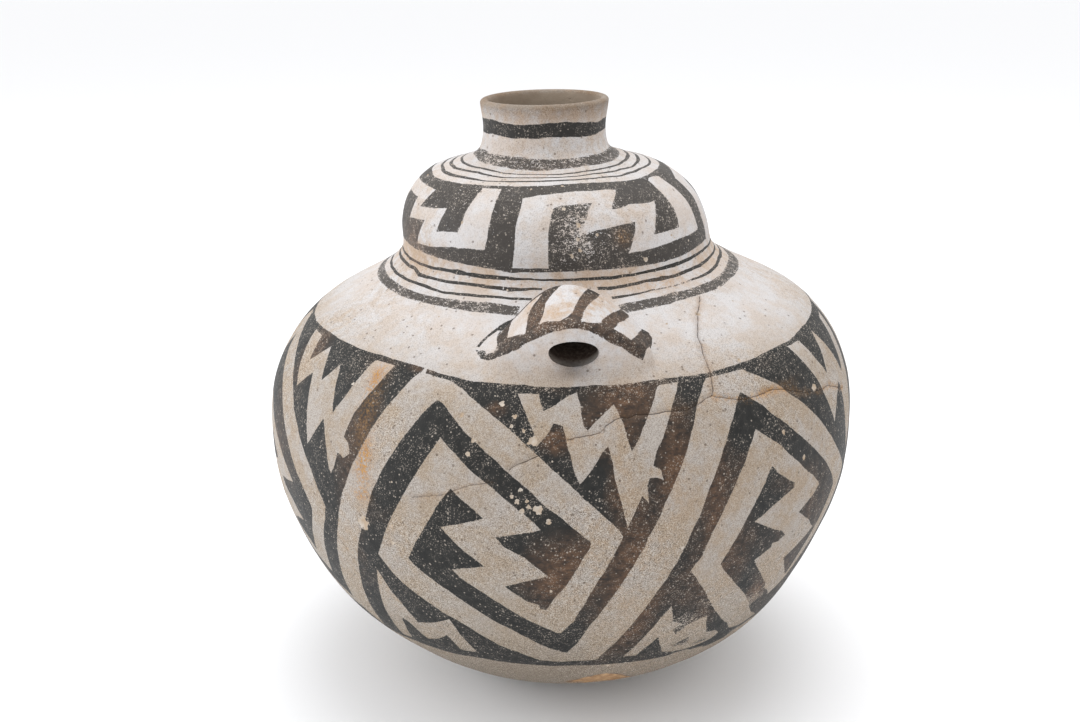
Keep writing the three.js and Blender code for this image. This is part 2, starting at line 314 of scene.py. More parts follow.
LOW_TEETH = [
    (-35.7, 173.9), (-34.9, 167.9), (-33.9, 160), (-32.8, 154.3), (-31.7, 147.9), (-30.6, 141.4),
    (-29.6, 135.4), (-27.8, 137.5), (-25.8, 140), (-23.6, 143.6), (-21.4, 147.5), (-20.8, 142.1),
    (-20, 135.7), (-19.2, 130.7), (-18, 124.3), (-17.1, 119.6), (-18, 118.2), (-20, 117.1), (-21.1, 117.9),
    (-21.9, 123.6), (-22.5, 127.9), (-23.2, 130.7), (-24.4, 127.1), (-26.1, 123.2), (-27.8, 120.7),
    (-29, 119.3), (-30, 122.1), (-31.1, 127.1), (-32.2, 132.1), (-33.5, 135), (-34, 132.1), (-34.4, 121.4),
    (-34.5, 114.3), (-35, 110.7), (-36.4, 109.3), (-38.1, 108.6), (-38.1, 114.3), (-38, 139.3),
    (-37.6, 146.4), (-37.1, 155.7), (-36.5, 163.6), (-36.1, 169.3),
]

# The panel to the right of the middle one
RIGHT_ARCH_LEFT = [
    (27.9, 285.7), (27.1, 283.6), (25.9, 279.5), (24.9, 275.7), (24, 271.4), (23.1, 265.7), (22.1, 260),
    (21, 252.9), (20, 247.1), (19, 240.7), (17.9, 233.6), (16.6, 227.1), (15.9, 220.7), (14.9, 214.3),
    (14.05, 210), (13.4, 204.3), (12.6, 200), (12, 195.7), (11, 189.3), (9.9, 181.4), (8.7, 173.6),
    (7.7, 166.4), (6.9, 160), (5.9, 154.3), (5.1, 147.9), (4.4, 142.1), (4, 137.9), (3.1, 132.9), (2.3, 129),
]
RIGHT_ARCH_RIGHT = [
    (29, 286.2), (36.7, 285.8), (37.75, 283.6), (39.9, 280), (42.1, 275.7), (44, 272.1), (45.9, 266.4),
    (48.1, 261), (49.9, 256.4), (52.1, 250.4), (54, 245), (56.2, 238.6), (58.1, 233.2), (59.9, 227.9),
    (61.8, 222.5), (63.7, 217.5), (65.6, 212.9), (67.4, 207.9), (68.4, 203.5), (64.8, 190), (61.5, 170),
    (57.3, 155), (54.5, 148),
]
RIGHT_RING_RIGHT = [
    (34.2, 274.6), (34.9, 273.2), (36.5, 269.3), (38.1, 265.7), (39.9, 260), (41.8, 255.7), (44, 250),
    (45.9, 245), (48.1, 240), (50.25, 234.6), (52.1, 230), (54.3, 225), (56.2, 220), (58.4, 213.6),
    (60.6, 207.1), (62, 201), (60.9, 195.7), (59, 185.7), (58, 180), (57, 171.4), (55.9, 164.3),
    (54.6, 155.7), (54, 152.7),
]
RIGHT_RING_LEFT = [
    (33.1, 272.1), (32.1, 267.9), (31, 263.6), (29.9, 259.3), (28.7, 252.9), (27.4, 246.4), (26.2, 239.3),
    (24.9, 232), (24, 225.5), (23.2, 217.9), (22.1, 212.1), (21.3, 205), (20.3, 198.5), (19.7, 194.3),
    (18.8, 188.6), (18, 182.1), (16.9, 175.7), (16.2, 170), (15.4, 163.6), (14.5, 157.1), (13.6, 150.7),
    (12.7, 144.3), (11.9, 138.6), (10.2, 130), (9.25, 124.3), (9, 121.2),
]
RIGHT_INSIDE = [
    (35.4, 254.6), (36.5, 252.1), (37.75, 249.3), (39.9, 245), (41.8, 240), (43.4, 235.7), (45.6, 230.7),
    (47.4, 225.7), (49.6, 220.7), (51.5, 216.4), (53.4, 211.8), (53.8, 209.9), (52.1, 206.4), (49.9, 203.6),
    (47.4, 200), (49.8, 195), (52, 190.7), (54, 185.7), (56.2, 181.4), (54.3, 178.6), (51.2, 175),
    (47.6, 171.1), (49, 165.7), (50.9, 160), (52.6, 155), (53.9, 152.5), (54.5, 148), (50.4, 142.1),
    (48.4, 147.9), (46.2, 151.4), (45.1, 157), (43.4, 161), (41.8, 165.7), (40.1, 170.7), (38.4, 175.7),
    (37.2, 180.7), (39, 182.9), (40.8, 185), (40.9, 187.9), (42.6, 187.1), (44.4, 189.3), (42.9, 193.6),
    (40.7, 196.4), (37.4, 202.1), (35, 206.3), (39, 211.4), (42.1, 214.6), (44.8, 216.8), (44.9, 219.3),
    (42.75, 223.6), (40.9, 227.1), (38.6, 233.6), (37.75, 231.4), (36.5, 225), (35.1, 219.3), (33.7, 212.9),
    (32.3, 205.7), (30.8, 198.3), (29.8, 192.1), (28.7, 185.5), (30, 180.7), (31.8, 175), (33.4, 170),
    (35.1, 165.7), (37, 160.7), (39, 155.4), (40.7, 150.7), (42.3, 146.4), (44.3, 140), (46.2, 135),
    (48.2, 130.4), (50.1, 127.9), (52, 124.5), (46, 122.5), (41.2, 126.4), (39.6, 131.4), (38.4, 134.3),
    (36.8, 137.9), (35.1, 142.1), (33.6, 146.4), (32, 151), (30.4, 156.4), (28.3, 164.5), (26.8, 170),
    (25.3, 175.5), (23.8, 181.4), (22.7, 185.7), (23.3, 189.3), (24.4, 193.6), (25, 200), (26.2, 207.9),
    (27.4, 215.7), (28.7, 222.9), (29.9, 229.3), (30.9, 234.3), (32.1, 240), (33.1, 245), (34.3, 250),
]
RIGHT_TEETH = [
    (52.9, 288.2), (57.9, 288.2), (58.7, 283.6), (59.9, 275), (60.9, 269.3), (61.7, 264.3), (62.75, 268.6),
    (64, 274.3), (65.25, 282.1), (66.5, 287.1), (67.75, 280), (69, 273.6), (70.1, 267.1), (70.6, 261.4),
    (71.3, 257.1), (72.2, 258), (73.8, 265.7), (75.5, 274), (77.7, 285.6), (82, 286.4), (79.3, 272.5),
    (77.1, 260), (75.4, 248), (74, 237.1), (72, 226), (69.5, 215), (68.4, 222.9), (67.75, 230.7),
    (67.3, 239.3), (67, 246.4), (66.7, 253.6), (66, 255.7), (63.1, 249.3), (61.5, 244.3), (60.25, 238.6),
    (59.3, 244.3), (58.4, 250.7), (57.6, 257.1), (57, 262.9), (56.5, 266.4), (55.6, 272.1), (54.6, 277.9),
    (53.7, 283.6),
]
RIGHT_LOW_TEETH = [
    (20.8, 162.8), (20.4, 159.7), (19.5, 155), (18.6, 147.7), (17.4, 140.1), (16.3, 133.1), (14.5, 123.3),
    (17.4, 122.5), (18.6, 129.1), (20.7, 138.1), (22, 130.9), (23.7, 122.2), (26.2, 120.3), (29.4, 119),
    (33, 119.5), (37, 121.5), (38, 126), (36, 130.5), (33.3, 131.6), (31.8, 139.7), (30.5, 147.6),
    (29.1, 147.3), (27.4, 144.8), (25.9, 142.1), (24.5, 137.8), (23.3, 142.3), (24.7, 145.9), (22.3, 150.4),
    (21.7, 155.7),
]

# The panel to the left of the middle one
LEFT_ARCH_RIGHT = [
    (-84, 290.5), (-80, 285), (-76, 279.5), (-74, 277.5), (-72, 274.5), (-70, 271), (-68, 267.5),
    (-66, 263.5), (-64, 259.5), (-62, 255), (-60, 249.5), (-58, 244.5), (-56, 237.8), (-54, 231.5),
    (-52, 225), (-50, 216.5), (-48, 208), (-47.3, 203.5), (-48, 195.5), (-49, 190), (-50.5, 180),
    (-51.9, 170), (-53, 160), (-54.2, 150), (-55.2, 144),
]
LEFT_RING_RIGHT = [
    (-80, 271), (-76, 264.5), (-74, 261), (-72, 257.5), (-70, 254), (-68, 250), (-66, 244.5), (-64, 237.5),
    (-62, 231), (-60, 224), (-58, 217), (-56, 210.5), (-54, 204.5), (-52.3, 197), (-53.2, 190),
    (-54.4, 183), (-55.8, 175), (-57, 167), (-58.5, 158), (-60, 156),
]
LEFT_TEETH = [
    (-70.8, 291.6), (-65.6, 291.8), (-64.2, 284), (-62.7, 277.3), (-61.8, 279.5), (-58.5, 290), (-56.5, 283),
    (-54, 271.5), (-52.5, 277), (-51, 283.5), (-50, 279.5), (-48.6, 270), (-46.7, 258.5), (-46.2, 261),
    (-45, 269), (-44, 278), (-43.3, 285), (-42.3, 291.5), (-41.5, 292.7), (-36.7, 292.5), (-37.3, 288),
    (-38.5, 280), (-40, 270.5), (-41.2, 262), (-42, 252), (-42.2, 248.5), (-41, 246.5), (-40.4, 243),
    (-40.3, 240.5), (-41.8, 237), (-42.3, 238.5), (-43.2, 239), (-43.8, 232), (-44.8, 225.8), (-45.3, 228),
    (-46, 234.5), (-46.7, 242), (-47.6, 248), (-48.7, 253.5), (-50.5, 245), (-52, 238), (-52.6, 235.8),
    (-53, 240), (-54, 248.5), (-55.3, 257), (-57, 267), (-58.3, 273), (-60.5, 266.5), (-62.2, 261.3),
    (-63, 264), (-65, 269.5), (-67, 276), (-68.5, 281.5), (-70, 287.5),
]

# Edges of the black zone on the belly
ZONE_TOP = [
    (-76, 294), (-70, 295), (-64, 296), (-58, 296.2), (-50, 296), (-40, 296.3), (-34, 295.5), (-30, 294.5),
    (-26, 292.8), (-22, 291.6), (-18, 290.4), (-8, 290.3), (-6, 289.5), (-2, 288.8), (4, 289.3), (10, 288.9),
    (14, 289.2), (20, 289.6), (26, 288.5), (30, 288.8), (36, 289.2), (40, 289.6), (46, 290.7), (50, 291),
    (56, 290.8), (60, 291.8), (64, 292.7), (68, 292.3), (74, 292.5),
]
ZONE_BOTTOM = [
    (-60, 103), (-42, 102), (-38, 104), (-34.4, 105.4), (-30, 106.4), (-25.8, 107.1), (-21.9, 108.6),
    (-19.4, 110.4), (-16, 111.4), (-11.9, 111.8), (-6, 112.5), (0, 113.2), (4, 113.9), (10, 114.6),
    (16, 115), (22, 115), (26.3, 115.7), (28, 117.3), (31, 117.6), (32.2, 115.3), (36, 115), (36.6, 112.3),
    (40, 111.6), (44, 112.6), (45, 118), (50, 120.5), (56, 121), (64, 117), (72, 113), (90, 110),
]

# Paint that stayed on the low teeth at the right, and a gap in the paint above the middle arch
PATCHES = [
    [(25.5, 126.4), (26.4, 129.7), (28.6, 132.1), (29.5, 125), (27.8, 125.2)],
    [(31, 122.4), (32.4, 124.6), (35.2, 124.4), (34.6, 122.6)],
]
ARCH_GAP = [(-29.9, 290.6), (-29.5, 294.6), (-28.9, 294.8), (-28.6, 290.8)]

# The left panel repeats parts of the middle one, its inside drawn down; the hidden panels repeat all of it
LEFT_PANEL_TURN, LEFT_INSIDE_TURN = -57.2, -56
LEFT_PANEL_FOOT, LEFT_PANEL_SQUASH = 119, 0.88
HIDDEN_PANEL_TURNS, HIDDEN_PANEL_STRETCH = (118.8, 180.1, 241.5), 1.069

# How strong the paint is, 1 being solid black
PATCH_DENSITY, LOBE_DENSITY, STRAP_DENSITY = 0.9, 0.74, 0.95

# Lines round the groove, the lobe's crown and the neck: degrees, upper edge, lower edge
GROOVE_LINES = [
    (0.95, [(-57, 359.5, 358), (-50, 359.7, 358), (-40, 360.8, 359), (-37, 361.3, 358.2), (-33.3, 360.7, 359),
            (-30, 360.8, 358.5), (-20, 361, 358.8), (-12, 360.6, 359.5), (-7, 360.4, 359.4),
            (0, 360.5, 359.3), (4.2, 360.8, 359.5)]),
    (0.95, [(4, 360.8, 359.6), (15, 361, 359), (25, 361, 359.5), (30, 361.3, 359.8), (35, 361.7, 360),
            (40, 362.2, 360.2), (45, 362.5, 360.3), (55, 363, 361.2), (65, 363.6, 362), (70, 363.8, 362.3),
            (180, 361.5, 359.8), (303, 359.5, 358)]),
    (0.9, [(12, 355.2, 353.5), (16, 355, 352.8), (25, 356, 354.4), (30, 356.6, 355), (37, 357, 354.3),
           (40, 356.3, 354.5), (50, 357, 355), (60, 357.3, 355.6), (70, 357.7, 356.4), (180, 357, 355.2),
           (300, 356, 354), (305, 354, 351.5), (315, 354, 352.5), (324, 355, 353), (329, 355.5, 353.7),
           (340, 355.6, 353.3), (343, 355.3, 352.7), (350, 355.5, 354), (354, 355.3, 354.2)]),
    (0.85, [(15.5, 348.8, 347), (25, 349.6, 348.4), (30, 350.4, 349.6)]),
    (0.55, [(29, 350.4, 349.4), (34, 350.2, 349.3), (40, 350.3, 349.4), (49, 350.8, 349.7)]),
    (0.9, [(48, 350.7, 349.6), (60, 351.2, 349.5), (70, 352.5, 350.8), (75, 353.5, 351.5), (180, 351, 349),
           (285, 348, 346.2), (300, 348, 346.2), (310, 348.6, 346.5), (320, 347.5, 346), (330, 349, 347),
           (340, 349.3, 347.8), (351, 349.3, 347.7)]),
    (0.64, [(16.5, 343, 340), (18, 343.3, 336.5), (25, 344.5, 338), (33, 345.2, 338.5), (35, 345.8, 339.5),
            (45, 345.3, 339.5), (55, 345.3, 339), (65, 346.2, 340.3), (75, 347.2, 340.2), (180, 345, 339),
            (298, 342.3, 336.5), (310, 342, 336.3), (320, 342.8, 337), (330, 344, 337.2), (338, 344.8, 337),
            (347.5, 343.3, 337)]),
]
LOBE_BOTTOM = [
    (-75, 366), (-45, 365), (-30, 364.5), (-20, 363.8), (-16.5, 362.8), (-10, 363.7), (0, 364.2), (20, 364.5),
    (40, 364.2), (50, 365), (60, 366.5), (70, 367.5),
]
LOBE_TOP = [
    (-80, 412.5), (-70, 411), (-55, 411.8), (-45, 412.2), (-35, 413.5), (-25, 414.2), (-15, 415), (0, 416),
    (7, 417.2), (20, 416.6), (30, 415.8), (40, 414), (47, 413.5), (55, 414.2), (65, 415), (75, 415.3),
]
CROWN_LINES = [
    (0.86, [(-80, 420.5, 418.5), (-70, 419.5, 417), (-60, 420, 416.5), (-50, 420.2, 417.3), (-40, 420, 417.6),
            (-35, 419, 417.7), (-25, 420, 418.6), (-15, 421, 419.5), (0, 422.5, 420.8), (10, 422.2, 420.6),
            (25, 421.8, 420.3), (33, 422, 420.4), (42, 420.5, 418.8), (50, 421.3, 419.3), (65, 422, 420.4),
            (75, 421, 419.6)]),
    (0.84, [(-80, 426.3, 424), (-70, 426.4, 424), (-60, 427.5, 425.3), (-45, 428, 426), (-35, 426.7, 424.9),
            (-25, 425.4, 424), (-18, 425.6, 424.6), (0, 425.9, 424.9), (20, 426, 424.9), (30, 427, 425.6),
            (45, 426.3, 424.8), (50, 427, 425.2), (60, 426, 424.7), (70, 426.8, 425.3), (80, 427.8, 425.8)]),
    (0.78, [(-80, 433, 431.3), (-60, 432.5, 430.8), (-45, 432.8, 431), (-35, 431.6, 430.2), (-25, 430, 428.8),
           (-15, 429.8, 428.8), (-4, 429.3, 428.6), (10, 429.2, 428), (25, 430.3, 429), (40, 431, 429.6),
           (55, 431.5, 430), (65, 432.6, 431), (80, 433.6, 431.5)]),
    (0.6, [(-75, 445.8, 440), (-65, 446, 438.8), (-55, 445.2, 437.3), (-40, 445, 436.3), (-30, 445, 435.8),
           (-20, 444.5, 434.3), (-10, 444, 433.3), (0, 443.5, 433), (8, 443, 434), (20, 443.2, 434.3),
           (30, 443, 435), (40, 443.6, 434.8), (50, 443, 435), (60, 443.7, 435.4), (70, 444, 436.4),
           (80, 444.5, 437.2)]),
    (0.92, [(-80, 463, 455), (-65, 463.7, 455), (-55, 463.8, 455.7), (-40, 463, 455), (-30, 462.5, 454.5),
            (-20, 462.4, 454.8), (-5, 463, 455), (5, 463.5, 455.6), (20, 463.5, 455), (30, 462.7, 454.7),
            (40, 462.1, 454.3), (50, 461.4, 454), (55, 461, 454), (65, 461.5, 455), (80, 462, 455.5)]),
]

# The stepped white figure on the lobe, and the part of the next one that shows to its left
STEPS = [
    (-11.6, 405), (-12.3, 400), (-12.95, 396), (-13.6, 390), (-14, 382.5), (-14.3, 376), (-14.8, 371),
    (-15.5, 365.5), (-10.9, 365.7), (-3.2, 366), (-3, 372), (-2.7, 377.5), (-2.3, 385), (-1.8, 390),
    (-1, 395), (0.25, 399), (3.5, 400.3), (10, 401), (16.2, 401.3), (14, 397.5), (12, 393), (10.5, 389),
    (8.75, 384.3), (13.5, 385.3), (18.5, 386.3), (24, 387.5), (30.75, 388.2), (30, 384), (28.5, 380),
    (27, 376), (25.5, 372.3), (31, 372.3), (36, 373), (41, 373.8), (48.5, 374.8), (56, 375.3),
    (63.5, 375.8), (64.5, 377), (64.6, 382.5), (64.4, 390), (64, 397.5), (63.5, 405), (63, 411),
    (59, 412.3), (55, 412), (52.5, 410.5), (52, 405), (51.75, 397.5), (52, 390), (51.75, 385), (51, 381),
    (45, 380.4), (37.5, 380), (38.5, 383), (40, 388), (41.5, 392.5), (44.25, 398.3), (41, 397.5),
    (36, 398), (31, 398.3), (27, 396.8), (23, 396.5), (24.5, 400), (27, 403.5), (30.25, 408.5),
    (26, 409.3), (18.5, 409.4), (11, 409.8), (3.5, 408.8), (-4, 407.5), (-8.6, 406),
]
LEFT_STEPS = [
    (-21.8, 411.2), (-22.3, 405), (-23.2, 400), (-23.9, 394), (-24.1, 387.5), (-24.3, 380), (-25.2, 374),
    (-30, 373.5), (-38.2, 372.8), (-42.7, 371.8), (-51.8, 370), (-59.5, 369.5), (-57.5, 376), (-55.5, 383),
    (-62, 382), (-68.3, 381), (-68.3, 387), (-68.3, 393.5), (-76, 393.5), (-85, 393), (-87, 385),
    (-88.5, 372), (-88.7, 366), (-101, 365.5), (-99.5, 376), (-98.5, 396), (-97.1, 400), (-90, 401.5),
    (-80, 402.5), (-70, 402.8), (-63.2, 402.8), (-57.7, 402.5), (-59, 398), (-60.5, 393.5), (-62, 389),
    (-55, 390), (-50, 391.3), (-44.8, 392.7), (-46.4, 383.5), (-47.3, 378.9), (-40.9, 380),
    (-36.6, 380.8), (-35.8, 384), (-35.4, 388), (-35, 393), (-33.9, 399), (-32.3, 405.5), (-30.7, 411),
]
STEP_TURNS = (87, 180)

# Stripes on the strap, in mm from its middle: along it and down it
STRAP_STRIPES = [
    [(-9.5, -18), (-10.5, -14.5), (-12, -11), (-14.5, -7), (-17, -4.5), (-19, -1), (-19.8, 3), (-20.2, 10),
     (-20.5, 15), (-14, 15), (-13.5, 11), (-12.5, 8), (-11.5, 4), (-11, 0), (-9.5, -3), (-8, -5), (-6, -8),
     (-4, -11), (-1, -14), (0, -18)],
    [(10, -18), (9.6, -11), (7, -6), (4.5, -1), (2.5, 4), (0.5, 9), (-2, 12), (-3.5, 15), (3.5, 15),
     (4.5, 11), (6, 7), (8, 3), (10.5, -1), (13, -5), (15.5, -9), (18, -14), (18.5, -18)],
    [(28.5, -13), (26, -6.5), (23, -3), (19, 2), (16, 6), (13, 10), (11, 15), (17, 14), (19.5, 10),
     (21.5, 7), (24.5, 4), (27, 0), (30, -4), (31, -10), (31.5, -14)],
    [(35, 2), (32, 6), (29, 10), (26, 14), (24, 16.5), (26, 21), (29, 21.5), (31, 18.5), (35, 14), (38, 9),
     (40.5, 4), (40, 0), (37.5, -3.5)],
    [(-38.8, -4), (-37.5, 1), (-37, 5), (-35.5, 10), (-35, 15), (-21, 15), (-24, 11.5), (-27, 10.4),
     (-30, 9), (-30.5, 5), (-30.2, -2), (-31, -8), (-34, -8.5)],
    [(-47, 8.5), (-46, 12), (-43.5, 11), (-41, 12), (-40, 14.5), (-36, 15), (-35.3, 12), (-30, 10),
     (-27, 10.4), (-24, 11.5), (-21, 13.4), (-17, 13.8), (-14, 12.5), (-12, 11.5), (-9, 12.5), (-5, 13.8),
     (-3, 12.4), (3, 14), (6, 14.6), (9, 14), (12, 12.6), (14, 13.5), (18, 14.4), (21, 15.2), (24, 16.4),
     (26, 16), (30, 18), (29, 21.2), (26, 21), (22, 20), (18, 19.5), (12, 18.8), (6, 18), (0, 17.6),
     (-10, 17.9), (-20, 18.3), (-30, 18.6), (-38, 18.8), (-42, 17.5), (-45, 14)],
    [(-47.6, 8), (-46.4, 4), (-44.6, 0), (-42.4, -4.4), (-40, -8.6), (-37, -12.2), (-33, -14.6), (-28, -17.2),
     (-22, -19.8), (-15, -21.4), (-9, -22), (-9, -10.2), (-12, -9.8), (-15, -9), (-18, -8.2), (-22, -6.5),
     (-25, -5.2), (-28, -4), (-30, -3), (-33, -1.4), (-36, -3), (-38, -5), (-40, -4.6), (-43, 0),
     (-44.6, 3.6), (-46, 8.4)],
]
STRAP_GAPS = [[(-38, -4.5), (-36, -2), (-34.4, 2.4), (-35.6, 0.4), (-37.2, -2.4)]]

# Cracks, with their depth in mm, their darkness and how much rust they show
CRACKS = [
    (0.8, 0.9, 0.3, [(44, 338), (41, 333), (38, 328), (36, 323), (34, 318), (32, 312), (31, 305), (30, 299),
                     (29.5, 291), (29, 285), (28.6, 280), (28, 276.3)]),
    (0.6, 0.7, 0.3, [(28, 276.3), (26.5, 275.5), (24.5, 273.2), (22, 271.6), (20, 271.8), (18, 272.4),
                     (16.5, 271.8), (13.5, 272.3), (12.2, 272.2), (11, 271.2), (9.3, 271.5), (8, 269.8),
                     (7, 267.8), (6, 265), (4.7, 264), (1.5, 262.9), (0.3, 262)]),
    (0.6, 0.55, 0.9, [(28, 276.3), (29, 275), (31.5, 272.6), (33, 271.3), (35, 270.5), (39, 270.6), (41, 271),
                      (43, 270.4), (45, 269), (48, 265.5), (52, 262), (57, 259), (60, 258.8), (61.5, 257.5),
                      (63.5, 255), (66, 252), (68.5, 250.3)]),
    (0.5, 0.9, 0.1, [(-9.2, 247), (-8.3, 249), (-7.2, 250.8), (-6, 252), (-4.7, 254)]),
    (0.35, 0.5, 0.2, [(-26, 226.5), (-23, 229), (-20, 231), (-18.5, 233.8), (-16, 237.2), (-14.3, 238.2),
                      (-12, 240)]),
    (0.4, 0.5, 0.2, [(150, 262), (154, 258), (157, 250), (156, 243), (159, 235), (163, 231)]),
]

# Flakes and pits: degrees, mm up the outline, radius, depth
FLAKES = [
    (-11.7, 279.5, 1.3, 0.5), (-9.1, 273.2, 1.1, 0.4), (-9.4, 268.3, 1.0, 0.4), (-7.3, 266.3, 1.0, 0.4),
    (-5.7, 261.5, 2.4, 0.7), (-15.9, 259.8, 1.3, 0.5), (-16.6, 253, 1.1, 0.4), (-7.3, 237, 1.2, 0.5),
    (-8.7, 233.5, 1.0, 0.4), (-7.8, 230.8, 1.2, 0.5), (-6.2, 231.3, 0.9, 0.4), (-5.9, 228.2, 1.2, 0.5),
    (-4.3, 227, 2.2, 0.7), (-7, 226, 1.2, 0.5), (-2.6, 220.8, 1.3, 0.5), (54.5, 262.5, 2.0, 0.6),
    (42, 248.5, 1.2, 0.4), (47.5, 231, 1.3, 0.4), (7.8, 381.3, 1.0, 0.4), (8.4, 388.7, 1.1, 0.4),
    (8.3, 375.5, 0.9, 0.4), (5.3, 372.5, 1.0, 0.4), (4, 398.3, 0.9, 0.3), (32, 367.5, 1.2, 0.4),
    (15, 383.2, 0.9, 0.3), (38, 327.5, 1.6, 1.0), (-16, 237.2, 0.9, 0.5), (-30.7, 207, 1.2, 0.4),
    (-30.7, 197, 1.2, 0.4), (-37, 203.5, 3.4, 0.7), (12, 113, 1.1, 0.3),
]
LIP = [(4, 78), (6.5, 86), (9, 93), (12, 98), (15.5, 96), (19, 88), (22, 78), (24.5, 69), (14, 66), (6, 69)]

# Stains and worn places: kind, strength, degrees, mm up the outline, half width in degrees, half height in mm
STAINS = [
    ("rust", 1.0, -39.4, 281, 1.5, 9), ("rust", 1.0, -38.2, 266, 1.8, 18), ("rust", 0.9, -36.7, 238, 1.7, 15),
    ("rust", 0.8, -36.9, 221, 1.9, 4), ("rust", 0.55, 24.5, 381, 3.0, 4.5), ("rust", 0.4, -4, 429.5, 7, 4),
    ("rust", 0.5, 44, 270.5, 5, 2.2), ("rust", 0.3, -8, 357, 14, 4), ("rust", 0.3, 35, 353, 12, 6),
    ("brown", 1.0, 1, 190, 8, 24), ("brown", 1.0, 12, 176, 6, 52), ("brown", 1.0, 19, 240, 4, 34),
    ("brown", 0.9, 9.6, 240, 2.6, 20), ("brown", 1.0, 11, 280, 8, 13), ("brown", 0.8, 26, 222, 3, 40),
    ("brown", 0.6, 28, 190, 8, 50), ("brown", 0.8, 43, 153, 5, 10), ("brown", 0.7, 8, 270, 9, 22),
    ("brown", 0.85, -62, 369, 15, 13), ("brown", 0.5, -40, 230, 5, 60), ("brown", 0.5, 50, 180, 12, 60),
    ("brown", 0.5, -66, 225, 8, 40), ("brown", 0.9, 3, 314, 19, 20), ("brown", 0.9, -12.6, 276.5, 2, 4),
    ("brown", 1.0, -1.6, 261.5, 2.4, 6), ("brown", 0.7, -30, 294, 5, 4), ("brown", 0.7, -64, 283, 6, 20),
    ("worn", 0.95, 25.2, 148, 5, 12), ("worn", 0.8, 28, 160, 4, 8), ("worn", 0.85, 43, 146, 7, 14),
    ("worn", 0.75, 29, 124, 8, 8), ("worn", 0.5, 13, 120, 6, 9), ("worn", 0.4, 3, 142, 6, 12),
    ("worn", 0.5, -8, 266, 7, 18), ("worn", 0.5, -6, 232, 6, 12), ("worn", 0.5, 0, 288, 400, 8),
    ("worn", 0.45, 9, 385, 7, 18), ("worn", 0.8, -17.5, 307, 4.5, 6), ("worn", 0.5, 2, 304.5, 14, 5),
    ("worn", 0.45, 0, 322, 12, 12), ("worn", 0.35, 22, 185, 6, 24), ("worn", 0.3, -52, 190, 8, 50),
    ("dark_and_hole_shade", 0.55, 1.4, 295.4, 3.6, 2.4),
]


def moved(points, turn, stretch=1.0):
    return [(turn + deg * stretch, s) for deg, s in points]


def drawn_down(points):
    return [(deg, LEFT_PANEL_FOOT + (s - LEFT_PANEL_FOOT) * LEFT_PANEL_SQUASH) for deg, s in points]


def even_ring(points, turn=360.0):
    """Closes a line round the jar: values by degrees, carried round the back to where it starts."""
    points = sorted(points)
    return points + [(points[0][0] + turn,) + tuple(points[0][1:])]


def band(points):
    """The closed outline of a line, from its degrees, upper edge and lower edge."""
    return [(deg, top) for deg, top, _ in points] + [(deg, low) for deg, _, low in reversed(points)]


def panel_whites(arch_left, arch_right, ring_right, ring_left, inside):
    """The two bare shapes of a panel: the arch down to its ring, and the hooked figure inside."""
    arch = arch_left[::-1] + arch_right + ring_right[::-1] + ring_left
    return [arch, inside]


def zone_shapes():
    """Shapes in the order they are laid: paint density, 0 for bare slip, and the outline."""
    top = even_ring(ZONE_TOP)
    low = even_ring(ZONE_BOTTOM)
    shapes = [(1.0, top + low[::-1])]
    inside = INSIDE_RIGHT + HOOK + INSIDE_LEFT
    middle = panel_whites(ARCH_LEFT, ARCH_RIGHT, RING_RIGHT, RING_LEFT, inside)
    right = panel_whites(RIGHT_ARCH_LEFT, RIGHT_ARCH_RIGHT, RIGHT_RING_RIGHT, RIGHT_RING_LEFT, RIGHT_INSIDE)
    left = panel_whites(
        moved(ARCH_LEFT, LEFT_PANEL_TURN), LEFT_ARCH_RIGHT, LEFT_RING_RIGHT,
        moved(RING_LEFT, LEFT_PANEL_TURN), moved(drawn_down(inside), LEFT_INSIDE_TURN))
    whites = middle + right + left + [TEETH, LOW_TEETH, RIGHT_TEETH, RIGHT_LOW_TEETH, LEFT_TEETH]
    whites.append(moved(LOW_TEETH, LEFT_PANEL_TURN))
    for turn in HIDDEN_PANEL_TURNS:
        for shape in middle + [TEETH, LOW_TEETH]:
            whites.append(moved(shape, turn, HIDDEN_PANEL_STRETCH))
    whites.append(ARCH_GAP)
    shapes += [(0.0, shape) for shape in whites]
    shapes += [(PATCH_DENSITY, shape) for shape in PATCHES]
    return shapes


def line_shapes():
    """The lines round the groove, the lobe's black band with its figures, and the lines above it."""
    shapes = [(density, band(points)) for density, points in GROOVE_LINES]
    top = even_ring(LOBE_TOP)
    low = even_ring(LOBE_BOTTOM)
    shapes.append((LOBE_DENSITY, top + low[::-1]))
    shapes.append((0.0, STEPS))
    shapes.append((0.0, LEFT_STEPS))
    shapes += [(0.0, moved(STEPS, turn)) for turn in STEP_TURNS]
    shapes += [(density, band(even_ring(points))) for density, points in CROWN_LINES]
    return shapes


def on_strap(points):
    """Degrees and outline lengths of points given in mm from the middle of the strap."""
    return [tuple(float(v) for v in lug_spot(along, down)) for along, down in points]


def strap_shapes():
    stripes = [(STRAP_DENSITY, on_strap(points)) for points in STRAP_STRIPES]
    return stripes + [(0.0, on_strap(points)) for points in STRAP_GAPS]


def waver(point, scale, seed):
    """The slow unevenness of hand work at a place, the same each time."""
    return noise.noise(Vector((point[0] * scale + seed, point[1] * scale - seed, point[2] * scale)))


def resampled(points, step, closed=True):
    """The same line with points no further apart than step mm."""
    points = np.array(points, float)
    if closed:
        points = np.concatenate([points, points[:1]])
    radius = np.maximum(on_outline(points[:, 1])[0], 20)
    run = np.diff(points, axis=0)
    mean_radius = (radius[1:] + radius[:-1]) / 2
    lengths = np.hypot(np.radians(run[:, 0]) * mean_radius, run[:, 1])
    out = []
    for start, leap, length in zip(points, run, lengths):
        count = max(1, math.ceil(length / step))
        out += [start + leap * i / count for i in range(count)]
    if not closed:
        out.append(points[-1])
    return np.array(out)


